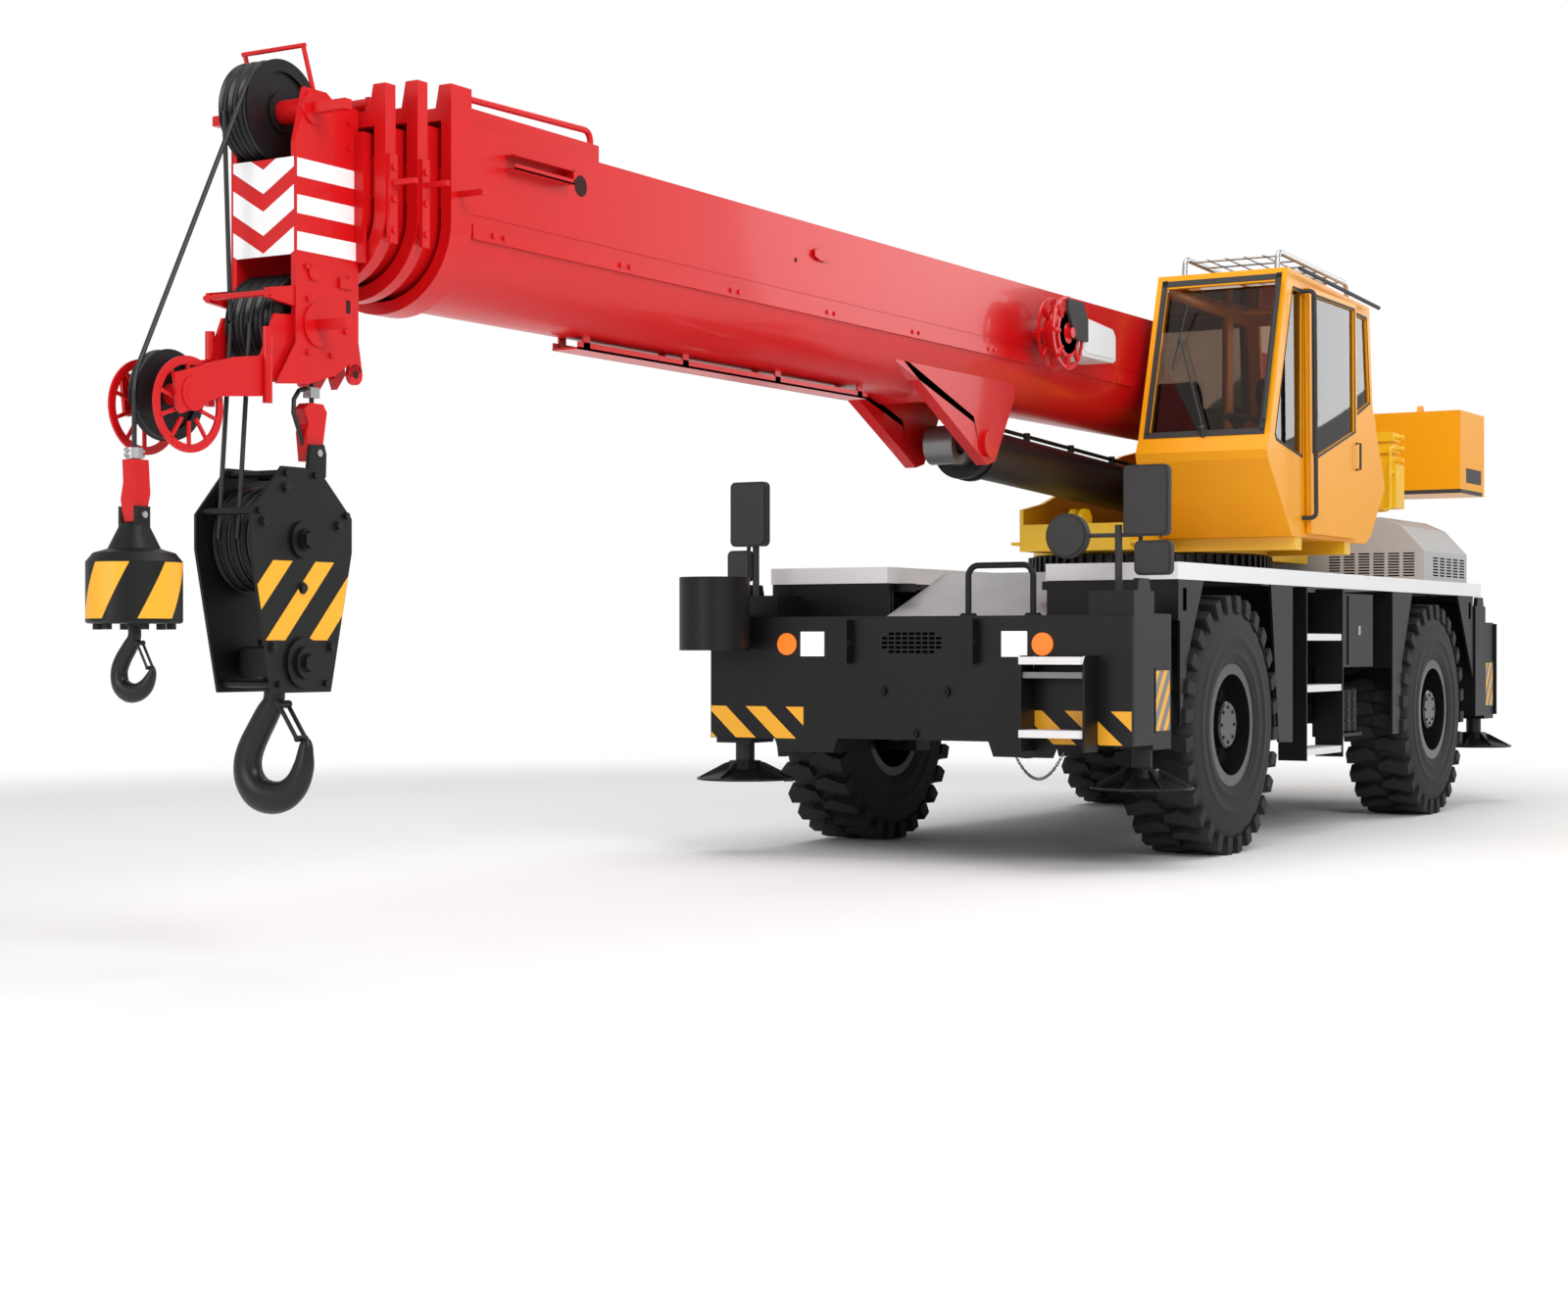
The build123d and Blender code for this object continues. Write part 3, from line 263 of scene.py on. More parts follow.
class Paints:
    """Every finish on the crane."""

    RED = Finish(
        "boom_red", Slot.RED, (0.6, 0.004, 0.006),
        0.34, coat=0.18, relief=0.02, grain_scale=9.0, shine=0.3,
    )
    ORANGE = Finish(
        "cab_orange", Slot.ORANGE, (0.88, 0.36, 0.004),
        0.4, coat=0.1, relief=0.02, grain_scale=9.0, shine=0.25,
    )
    YELLOW = Finish("frame_yellow", Slot.YELLOW, (0.85, 0.50, 0.01), 0.42, coat=0.15)
    WHITE = Finish("deck_white", Slot.WHITE, (0.82, 0.82, 0.83), 0.42, mottle=0.02)
    BLACK = Finish(
        "chassis_black", Slot.BLACK, (0.005, 0.005, 0.0055),
        0.42, relief=0.03, mottle=0.1, shine=0.3,
    )
    RIM = Finish("rim_black", Slot.RIM, (0.006, 0.006, 0.007), 0.3, coat=0.2)
    GREY = Finish("hood_grey", Slot.GREY, (0.42, 0.42, 0.42), 0.5, relief=0.04)
    DARK = Finish("cast_black", Slot.DARK_STEEL, (0.008, 0.008, 0.009), 0.36, relief=0.05, shine=0.35)
    STEEL = Finish("plain_steel", Slot.STEEL, (0.5, 0.5, 0.5), 0.35, metallic=0.8)
    CHROME = Finish("rod_chrome", Slot.CHROME, (0.75, 0.75, 0.76), 0.08, metallic=1.0)
    TYRE = Finish(
        "tyre_rubber", Slot.TYRE, (0.014, 0.014, 0.015),
        0.7, shine=0.35, relief=0.15, grain_scale=90.0, mottle=0.12,
    )
    PLASTIC = Finish(
        "black_plastic", Slot.PLASTIC, (0.007, 0.007, 0.008),
        0.5, shine=0.3, relief=0.06, grain_scale=200.0,
    )
    SEAT = Finish("seat_cloth", Slot.SEAT, (0.012, 0.012, 0.014), 0.85, relief=0.3, grain_scale=400.0)
    LAMP = Finish("lamp_white", Slot.LAMP, (0.95, 0.95, 0.95), 0.3, glow=0.25, mottle=0.0)
    AMBER = Finish("lamp_amber", Slot.LAMP, (0.95, 0.22, 0.01), 0.3, glow=0.15, mottle=0.0)
    SIGN_WHITE = Finish("sign_white", Slot.RED, (0.88, 0.88, 0.88), 0.35, mottle=0.0)
    SIGN_YELLOW = Finish("sign_yellow", Slot.BLACK, (0.9, 0.42, 0.015), 0.4, mottle=0.02)
    GREY_BAR = Finish("sign_grey", Slot.BLACK, (0.2, 0.2, 0.2), 0.45)
    TREAD_WHITE = Finish("tread_white", Slot.BLACK, (0.82, 0.82, 0.82), 0.5)
    COVER_WHITE = Finish("cover_white", Slot.PLASTIC, (0.78, 0.78, 0.78), 0.4)
    COVER_GREY = Finish(
        "speckled_grey", Slot.GREY, (0.4, 0.4, 0.4),
        0.55, relief=0.5, grain_scale=120.0, mottle=0.2,
    )
    # painted shade: a flat black with no shine that stands in for the shade inside slots and louvres
    OPENING_SHADE = Finish("deep_black", Slot.BLACK, (0.0008, 0.0008, 0.0008), 1.0, mottle=0.0, shine=0.0)
    # painted shade: a dark red that stands in for the shade inside holes and bores of the red boom and head
    SHADE = Finish("painted_hole_shade", Slot.RED, (0.03, 0.001, 0.001), 0.9)
    STEEL_DARK = Finish("worn_steel", Slot.DARK_STEEL, (0.2, 0.2, 0.2), 0.4, metallic=0.7)
    ROPE = Finish(
        "wire_rope", Slot.DARK_STEEL, (0.03, 0.03, 0.032),
        0.45, metallic=0.4, relief=0.4, grain_scale=300.0,
    )
    GLASS = TintedGlass("tinted_glass", Slot.GLASS, (0.74, 0.66, 0.6), 0.02)


NODE_FINISHES = {
    Paints.BLACK: (
        "chassis_frame axles steps side_tanks handrail hook_bucket main_block aux_weight luff_barrel "
        "knuckle_fl knuckle_fr knuckle_rl knuckle_rr "
        "outrigger_beam_fl outrigger_beam_fr outrigger_beam_rl outrigger_beam_rr"
    ),
    Paints.DARK: "engine_block slew_ring head_sheaves main_hook aux_hook jack_fl jack_fr jack_rl jack_rr",
    Paints.WHITE: "deck",
    Paints.GREY: "engine_hood",
    Paints.COVER_GREY: "centre_cover",
    Paints.PLASTIC: "mirrors cab_controls",
    Paints.LAMP: "lamps",
    Paints.YELLOW: "turntable_frame winches",
    Paints.ORANGE: "counterweight cab_shell cab_door",
    Paints.GLASS: "cab_glass cab_door_glass",
    Paints.STEEL: "cab_roof_guard",
    Paints.SEAT: "operator_seat",
    Paints.RED: "boom_base cable_reel boom_section_2 boom_section_3 boom_head aux_arm",
    Paints.STEEL_DARK: "luff_rod",
    Paints.ROPE: "main_falls",
    Paints.RIM: "rim_fl rim_fr rim_rl rim_rr",
    Paints.TYRE: "tyre_fl tyre_fr tyre_rl tyre_rr",
}


def on_front_step(middle: Vector) -> bool:
    """Tells whether a face's middle lies in the front steps."""
    return 0.73 < middle.y < 1.12 and middle.x > 0.6


def in_layer(z: float, height: float, lows: Sequence[float]) -> bool:
    """Tells whether a height lies in one of the layers that start at lows."""
    return any(low < z < low + height for low in lows)


# node, finish, and a test of each face's middle
FACE_FINISHES = (
    ("lamps", Paints.AMBER, lambda c: abs(abs(c.y) - 0.795) < 0.063 and c.x > 0.0),
    ("steps", Paints.TREAD_WHITE, lambda c: in_layer(c.z, 0.0405, (1.103, 0.715)) and on_front_step(c)),
    (
        "steps",
        Paints.TREAD_WHITE,
        lambda c: in_layer(c.z, 0.0425, (1.233, 0.909, 0.511)) and c.y < 1.2635 and c.x < -2.0,
    ),
    ("steps", Paints.GREY_BAR, lambda c: 1.03 < c.z < 1.0625 and on_front_step(c)),
)


@dataclass
class Shape:
    """A mesh in the making.

    Attributes:
        verts: Vertices in the row frame.
        faces: Faces as index tuples.
    """

    verts: list = field(default_factory=list)
    faces: list = field(default_factory=list)

    def prism(self, outline: Iterable[Point], run: Point) -> None:
        """Adds a closed prism.

        Args:
            outline: Corners of one end, in order.
            run: Vector from that end to the other.
        """
        corners, run = [Vector(p) for p in outline], Vector(run)
        first = corners[0]
        turns = [(b - first).cross(c - first) for b, c in zip(corners[1:], corners[2:])]
        turn = sum(turns, Vector())
        if turn.dot(run) < 0:
            corners.reverse()
        base, count = len(self.verts), len(corners)
        self.verts += corners + [c + run for c in corners]
        self.faces.append(tuple(base + count - 1 - i for i in range(count)))
        self.faces.append(tuple(base + count + i for i in range(count)))
        for i in range(count):
            j = (i + 1) % count
            self.faces.append((base + i, base + j, base + count + j, base + count + i))

    def box(self, low: Point, high: Point) -> None:
        """Adds a box between its lowest and its highest corner."""
        (a, b, c), (d, e, f) = low, high
        self.prism([(a, b, c), (d, b, c), (d, e, c), (a, e, c)], (0.0, 0.0, f - c))

    def tube(
        self,
        path: Sequence[Point],
        radii: Union[float, Sequence[float]],
        sides: int = 12,
        flat: float = 1.0,
    ) -> None:
        """Adds a round tube with closed ends along a path.

        Args:
            path: Points of its middle line.
            radii: One radius, or one for each point.
            sides: Corners round the tube.
            flat: Scale of the section across the path's plane.
        """
        points = [Vector(p) for p in path]
        sizes = [radii] * len(points) if isinstance(radii, (int, float)) else list(radii)
        across = Vector()
        for a, b, c in zip(points, points[1:], points[2:]):
            across += (b - a).cross(c - b)
        if across.length < 1e-9:
            run = points[-1] - points[0]
            level = abs(run.z) < 0.9 * run.length
            across = run.cross(Vector((0.0, 0.0, 1.0) if level else (0.0, 1.0, 0.0)))
        across.normalize()
        base = len(self.verts)
        for i, (point, size) in enumerate(zip(points, sizes)):
            ahead = (points[min(i + 1, len(points) - 1)] - points[max(i - 1, 0)]).normalized()
            side = across.cross(ahead).normalized()
            over = ahead.cross(side)
            for k in range(sides):
                turn = 2 * math.pi * k / sides
                u, v = size * math.cos(turn), size * flat * math.sin(turn)
                self.verts.append(point + side * u + over * v)
        for i in range(len(points) - 1):
            for k in range(sides):
                n = (k + 1) % sides
                low, high = base + i * sides, base + (i + 1) * sides
                self.faces.append((low + k, low + n, high + n, high + k))
        self.faces.append(tuple(base + sides - 1 - k for k in range(sides)))
        last = base + (len(points) - 1) * sides
        self.faces.append(tuple(last + k for k in range(sides)))

    def turned(self, profile: Sequence[Point], centre: Point, out: float, sides: int = 96) -> None:
        """Adds a closed ring turned about a cross axis.

        Args:
            profile: Closed outline of (radius, distance outwards) points.
            centre: A point on the axis.
            out: +1 where outwards is +Y, -1 where it is -Y.
            sides: Steps round the ring.
        """
        base, count = len(self.verts), len(profile)
        for k in range(sides):
            turn = 2 * math.pi * k / sides
            for radius, along in profile:
                place = (radius * math.cos(turn), out * along, radius * math.sin(turn))
                self.verts.append(Vector([c + p for c, p in zip(centre, place)]))
        for k in range(sides):
            here, there = base + k * count, base + (k + 1) % sides * count
            for i in range(count):
                j = (i + 1) % count
                quad = (here + i, here + j, there + j, there + i)
                self.faces.append(quad if out > 0 else quad[::-1])

    def plate(self, outline: Iterable[Point], facing: Axis, thickness: float = 0.0012) -> None:
        """Adds a thin flat plate on a face."""
        self.prism(outline, Vector(facing.value) * thickness)

    def side_plate(self, low: Point, high: Point, y: float, thickness: float = 0.0012) -> None:
        """Adds a thin upright plate that faces away from the crane's middle.

        Args:
            low: Lower corner as (x, z).
            high: Upper corner as (x, z).
            y: Plane of the carrying face.
            thickness: How far the plate stands proud.
        """
        facing = Axis.PLUS_Y if y > 0 else Axis.MINUS_Y
        corners = (low, (high[0], low[1]), high, (low[0], high[1]))
        self.plate([(x, y, z) for x, z in corners], facing, thickness)

    def mesh(self, name: str) -> bpy.types.Mesh:
        """Turns the lists into a Blender mesh with smooth curved faces.

        Args:
            name: Mesh name.

        Returns:
            The mesh.
        """
        mesh = bpy.data.meshes.new(name)
        mesh.from_pydata([tuple(v) for v in self.verts], [], self.faces)
        mesh.validate()
        mesh.update()
        mesh.shade_smooth()
        mesh.set_sharp_from_angle(angle=math.radians(32.0))
        return mesh


@dataclass(frozen=True)
class Place:
    """Where one copy goes.

    Attributes:
        point: Its origin in the row frame.
        aim: Direction of its own Z.
        side: Direction of its own X.
    """

    point: tuple
    aim: tuple
    side: tuple = (1.0, 0.0, 0.0)


class Repeater:
    """A Geometry Nodes tree that puts copies of a template on points."""

    SEED = 7

    def __init__(self) -> None:
        """Builds the tree once."""
        self.tree = bpy.data.node_groups.new("copies_on_points", "GeometryNodeTree")
        self._build()

    def _build(self) -> None:
        """Adds the sockets and nodes."""
        tree = self.tree
        add_socket(tree, "Points", "NodeSocketGeometry")
        add_socket(tree, "Template", "NodeSocketObject")
        add_socket(tree, "Finish", "NodeSocketMaterial")
        add_socket(tree, "Spread", "NodeSocketFloat", 0.0)
        add_socket(tree, "Seed", "NodeSocketInt", self.SEED)
        add_socket(tree, "Copies", "NodeSocketGeometry", out=True)
        nodes, links = tree.nodes, tree.links
        given, result = nodes.new("NodeGroupInput"), nodes.new("NodeGroupOutput")
        info = nodes.new("GeometryNodeObjectInfo")
        put = nodes.new("GeometryNodeInstanceOnPoints")
        real = nodes.new("GeometryNodeRealizeInstances")
        dress = nodes.new("GeometryNodeSetMaterial")
        low, high = nodes.new("ShaderNodeMath"), nodes.new("ShaderNodeMath")
        size = nodes.new("FunctionNodeRandomValue")
        low.operation, high.operation = "SUBTRACT", "ADD"
        size.data_type = "FLOAT"
        turned = []
        for name, axis in (("aim", "Z"), ("side", "X")):
            read = nodes.new("GeometryNodeInputNamedAttribute")
            read.data_type = "FLOAT_VECTOR"
            read.inputs["Name"].default_value = name
            align = nodes.new("FunctionNodeAlignRotationToVector")
            align.axis = axis
            align.pivot_axis = "AUTO" if axis == "Z" else "Z"
            links.new(read.outputs["Attribute"], align.inputs["Vector"])
            turned.append(align)
        links.new(turned[0].outputs["Rotation"], turned[1].inputs["Rotation"])
        for node in (low, high):
            node.inputs[0].default_value = 1.0
            links.new(given.outputs["Spread"], node.inputs[1])
        floats = [s for s in size.inputs if s.enabled]
        links.new(low.outputs[0], next(s for s in floats if s.name == "Min"))
        links.new(high.outputs[0], next(s for s in floats if s.name == "Max"))
        links.new(given.outputs["Seed"], next(s for s in floats if s.name == "Seed"))
        links.new(given.outputs["Points"], put.inputs["Points"])
        links.new(given.outputs["Template"], info.inputs["Object"])
        links.new(info.outputs["Geometry"], put.inputs["Instance"])
        links.new(turned[1].outputs["Rotation"], put.inputs["Rotation"])
        links.new(next(s for s in size.outputs if s.enabled), put.inputs["Scale"])
        links.new(put.outputs["Instances"], real.inputs["Geometry"])
        links.new(real.outputs["Geometry"], dress.inputs["Geometry"])
        links.new(given.outputs["Finish"], dress.inputs["Material"])
        links.new(dress.outputs["Geometry"], result.inputs["Copies"])

    def scatter(
        self, name: str, template: Shape, places: Sequence[Place], finish: bpy.types.Material
    ) -> bpy.types.Mesh:
        """Makes one mesh of all copies.

        Args:
            name: Mesh name.
            template: Form of one copy, round its own origin.
            places: Where the copies go.
            finish: Their material.

        Returns:
            The finished mesh.
        """
        source = bpy.data.objects.new(name + "_template", template.mesh(name + "_template"))
        cloud = bpy.data.meshes.new(name + "_points")
        cloud.from_pydata([p.point for p in places], [], [])
        for key in ("aim", "side"):
            layer = cloud.attributes.new(key, "FLOAT_VECTOR", "POINT")
            layer.data.foreach_set("vector", [v for p in places for v in getattr(p, key)])
        carrier = bpy.data.objects.new(name + "_carrier", cloud)
        for item in (source, carrier):
            bpy.context.scene.collection.objects.link(item)
        live = carrier.modifiers.new("copies", "NODES")
        live.node_group = self.tree
        settings = {"Template": source, "Finish": finish, "Spread": 0.0, "Seed": self.SEED}
        for socket in self.tree.interface.items_tree:
            if socket.in_out == "INPUT" and socket.name in settings:
                live[socket.identifier] = settings[socket.name]
        carrier.update_tag()
        bpy.context.view_layer.update()
        ready = carrier.evaluated_get(bpy.context.evaluated_depsgraph_get())
        mesh = bpy.data.meshes.new_from_object(ready)
        carrier.modifiers.remove(live)
        for item in (carrier, source):
            bpy.data.objects.remove(item)
        mesh.name = name
        return mesh


@dataclass
class Workshop:
    """Attributes:
        effects: Shared shader groups.
        repeater: Tree that repeats a template.
        made: Names of the pieces made so far.
    """

    effects: EffectLibrary
    repeater: Repeater
    made: list = field(default_factory=list)

    def finish_frame(self) -> None:
        """Gives every CAD node its finish, and single faces another one."""
        for finish, names in NODE_FINISHES.items():
            material = finish.build(self.effects)
            for name in names.split():
                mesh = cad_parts[name].data
                mesh.materials.clear()
                mesh.materials.append(material)
                mesh.polygons.foreach_set("material_index", [0] * len(mesh.polygons))
        for node, finish, chosen in FACE_FINISHES:
            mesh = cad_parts[node].data
            mesh.materials.append(finish.build(self.effects))
            index = len(mesh.materials) - 1
            for face in mesh.polygons:
                if chosen(face.center):
                    face.material_index = index

    def piece(self, name: str, shape: Shape, finish: Finish, body: str) -> bpy.types.Object:
        """Makes one mesh piece that rides on a body.

        Args:
            name: Object name.
            shape: Its form, in the row frame.
            finish: Its finish.
            body: Body that it moves with.

        Returns:
            The object.
        """
        mesh = shape.mesh(name)
        mesh.materials.append(finish.build(self.effects))
        return self.adopt(name, mesh, finish, body)

    def repeat(self, name: str, template: Shape, places: Sequence[Place], finish: Finish, body: str) -> None:
        """Makes one piece on a body from many copies of a template."""
        mesh = self.repeater.scatter(name, template, places, finish.build(self.effects))
        self.adopt(name, mesh, finish, body)

    def adopt(self, name: str, mesh: bpy.types.Mesh, finish: Finish, body: str) -> bpy.types.Object:
        """Puts a finished mesh into the scene on a body.

        Args:
            name: Object name.
            mesh: Its mesh, in the row frame.
            finish: The finish that it wears, not used here.
            body: Body that it moves with.

        Returns:
            The object.
        """
        piece = bpy.data.objects.new(name, mesh)
        bpy.context.scene.collection.objects.link(piece)
        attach(piece, body)
        self.made.append(name)
        log.info("%s: %d faces on %s", name, len(mesh.polygons), body)
        return piece


@dataclass(frozen=True)
class HalfPlane:
    """One side of a straight line, where u * U + v * V + shift is not negative.

    Attributes:
        u: Weight of the first coordinate.
        v: Weight of the second.
        shift: Constant of the sum.
    """

    u: float
    v: float
    shift: float

    def depth(self, point: Point) -> float:
        """Measures how far a point lies inside, negative outside."""
        return self.u * point[0] + self.v * point[1] + self.shift

    def clip(self, points: list) -> list:
        """Cuts a convex outline to the half plane.

        Args:
            points: Corners as (U, V).

        Returns:
            The corners that are left.
        """
        kept = []
        for i, p in enumerate(points):
            q = points[(i + 1) % len(points)]
            here, there = self.depth(p), self.depth(q)
            if here >= 0:
                kept.append(p)
            if (here >= 0) != (there >= 0):
                share = here / (here - there)
                kept.append(tuple(a + share * (b - a) for a, b in zip(p, q)))
        return kept


def beside(a: Point, b: Point) -> HalfPlane:
    """Finds the side of a line where the first coordinate can be 0.

    Args:
        a: A point of the line.
        b: Another.

    Returns:
        The half plane.
    """
    u, v = a[1] - b[1], b[0] - a[0]
    sign = 1.0 if -u * a[0] > 0 else -1.0
    return HalfPlane(sign * u, sign * v, -sign * (u * a[0] + v * a[1]))


def clip_to(points: list, low: Point, high: Point) -> list:
    """Cuts an outline to a rectangle.

    Args:
        points: Corners as (u, v).
        low: Lower corner.
        high: Upper corner.

    Returns:
        The corners that are left.
    """
    lows = HalfPlane(1.0, 0.0, -low[0]), HalfPlane(0.0, 1.0, -low[1])
    highs = HalfPlane(-1.0, 0.0, high[0]), HalfPlane(0.0, -1.0, high[1])
    for side in (lows[0], highs[0], lows[1], highs[1]):
        points = side.clip(points)
    return points


def count_up(start: float, stop: float, pitch: float) -> Iterator[float]:
    """Counts by a pitch from start while below stop.

    Args:
        start: First value.
        stop: Values stay below it.
        pitch: Step between values.

    Yields:
        The values.
    """
    while start < stop:
        yield start
        start += pitch


def cut_bands(bands: Iterable[list], low: Point, high: Point) -> list:
    """Cuts bands to a rectangle and leaves out those beside it."""
    cut = [clip_to(band, low, high) for band in bands]
    return [band for band in cut if len(band) > 2]


@dataclass
class BumperStripes:
    """Slanted yellow stripes on the ends of the front and rear plates."""

    front_x: float = at(3.476)
    rear_x: float = at(-3.666)
    ends: tuple = ((0.69, 1.305), (-1.305, -0.69))
    low: float = 0.675
    high: float = 0.855
    pitch: float = 0.266
    width: float = 0.133
    lean: float = 0.2

    def build(self, shop: Workshop) -> None:
        """Makes the stripes.

        Args:
            shop: The workshop.
        """
        plates = Shape()
        for x, facing in ((self.front_x, Axis.PLUS_X), (self.rear_x, Axis.MINUS_X)):
            for y_low, y_high in self.ends:
                bands = []
                for y in count_up(y_low - 0.3, y_high + 0.1, self.pitch):
                    end = y + self.width
                    top = [(y, self.high), (end, self.high)]
                    bands.append(top + [(end + self.lean, self.low), (y + self.lean, self.low)])
                for kept in cut_bands(bands, (y_low, self.low), (y_high, self.high)):
                    plates.plate([(x, u, v) for u, v in kept], facing)
        shop.piece("bumper_stripes", plates, Paints.SIGN_YELLOW, "chassis")


@dataclass
class HeadStripes:
    """White panels with red chevrons on the boom head's front, and bands on its sides."""

    front_x: float = at(8.6555)
    half: float = 0.15
    side_y: float = 0.1602
    low: float = 2.66
    high: float = 3.022
    pitch: float = 0.157
    drop: float = 0.09
    tall: float = 0.09
    side_lows: tuple = (2.675, 2.812, 2.949)
    side_tall: float = 0.069

    def build(self, shop: Workshop) -> None:
        """Makes the white parts.

        Args:
            shop: The workshop.
        """
        plates = Shape()
        for side in (-1.0, 1.0):
            edge = side * self.half
            bands = []
            for z in count_up(self.low - 0.236, self.high + 0.3, self.pitch):
                out = z + self.drop
                bands.append([(0.0, z), (edge, out), (edge, out + self.tall), (0.0, z + self.tall)])
            for kept in cut_bands(bands, (min(0, edge), self.low), (max(0, edge), self.high)):
                plates.plate([(self.front_x, u, v) for u, v in kept], Axis.PLUS_X)
            for low in self.side_lows:
                plates.side_plate((at(8.31), low), (at(8.65), low + self.side_tall), side * self.side_y)
        shop.piece("head_stripes", plates, Paints.SIGN_WHITE, "boom_head")


def hexagon(radius: float, height: float) -> Shape:
    """A bolt head on its washer, round its own origin and facing its own Z.

    Args:
        radius: Half the width over corners.
        height: Height of the head.

    Returns:
        The shape.
    """
    shape = Shape()
    # washer and head as radius, low, high, corners
    layers = ((radius * 1.35, -0.001, height * 0.25, 16), (radius, height * 0.25, height, 6))
    for size, low, high, sides in layers:
        turns = [2 * math.pi * k / sides for k in range(sides)]
        shape.prism([(size * math.cos(t), size * math.sin(t), low) for t in turns], (0.0, 0.0, high - low))
    return shape


class Bolts:
    """Bolt heads of the whole crane, one mesh to each body and size."""

    def build(self, shop: Workshop) -> None:
        """Makes them.

        Args:
            shop: The workshop.
        """
        left, up = Axis.PLUS_Y.value, Axis.PLUS_Z.value
        rows = [x + d for x in (1.3, 2.2, 3.1, 4.0, 4.9, 5.8, 6.7, 7.6) for d in (0.0, 0.07)]
        strip = [Place((at(x), 0.322, 2.849), left) for x in rows]
        self._set(shop, "strip_bolts", strip, 0.011, 0.008, Paints.RED, "boom_base")
        spots = ((-0.2, 1.66), (0.21, 1.66), (-0.16, 1.2), (0.16, 1.2), (0.0, 1.42), (0.09, 1.79))
        cheeks = self._both_sides([(BLOCK_X + x, z) for x, z in spots], 0.1412)
        self._set(shop, "block_bolts", cheeks, 0.017, 0.014, Paints.DARK, "main_block")
        spots = (
            (8.36, 3.2), (8.36, 3.1), (8.36, 2.6), (8.59, 2.5),
            (8.59, 2.3), (8.46, 2.3), (8.6, 2.62), (8.38, 2.4),
        )
        self._set(shop, "head_bolts", self._both_sides(spots, 0.1602), 0.011, 0.009, Paints.RED, "boom_head")
        for tag, axle in zip("fr", AXLE_X):
            for letter, side in (("l", 1.0), ("r", -1.0)):
                wheel = "wheel_" + tag + letter
                studs = self._around(axle, 1.148, 0.235, 16, side)
                caps = self._around(axle, 1.281, 0.1, 8, side)
                self._set(shop, "studs_" + tag + letter, studs, 0.02, 0.02, Paints.RIM, wheel)
                self._set(shop, "cap_bolts_" + tag + letter, caps, 0.009, 0.006, Paints.RIM, wheel)
        turns = [math.pi / 20 * k for k in range(40)]
        table = [Place((at(0.08 + 0.715 * math.cos(t)), 0.715 * math.sin(t), 1.835), up) for t in turns]
        self._set(shop, "table_bolts", table, 0.015, 0.012, Paints.DARK, "superstructure")
        corners = [(x, y) for y in (0.31, 0.70) for x in (-0.022, 0.022)]
        feet = [Place((at(3.395 + x), y + e, 1.373), up) for x, y in corners for e in (-0.024, 0.024)]
        self._set(shop, "rail_bolts", feet, 0.009, 0.008, Paints.DARK, "chassis")

    @staticmethod
    def _both_sides(spots: Sequence[Point], y: float) -> list:
        """Puts each spot on the left and on the right."""
        facings = ((1, Axis.PLUS_Y.value), (-1, Axis.MINUS_Y.value))
        return [Place((at(x), side * y, z), facing) for x, z in spots for side, facing in facings]

    @staticmethod
    def _around(axle: float, y: float, radius: float, count: int, side: float) -> list:
        """Spreads places round a wheel's axle.

        Args:
            axle: X of the axle.
            y: Distance of the face from the crane's middle.
            radius: Radius of the circle.
            count: Number of places.
            side: +1 on the left.

        Returns:
            The places.
        """
        turns = [2 * math.pi * k / count for k in range(count)]
        spots = [(axle + radius * math.cos(t), side * y, AXLE_HEIGHT + radius * math.sin(t)) for t in turns]
        return [Place(spot, (0.0, side, 0.0)) for spot in spots]

    @staticmethod
    def _set(
        shop: Workshop, name: str, places: list, radius: float, height: float, finish: Finish, body: str
    ) -> None:
        """Makes one set of bolts, with the radius and height of their heads."""
        shop.repeat(name, hexagon(radius, height), places, finish, body)


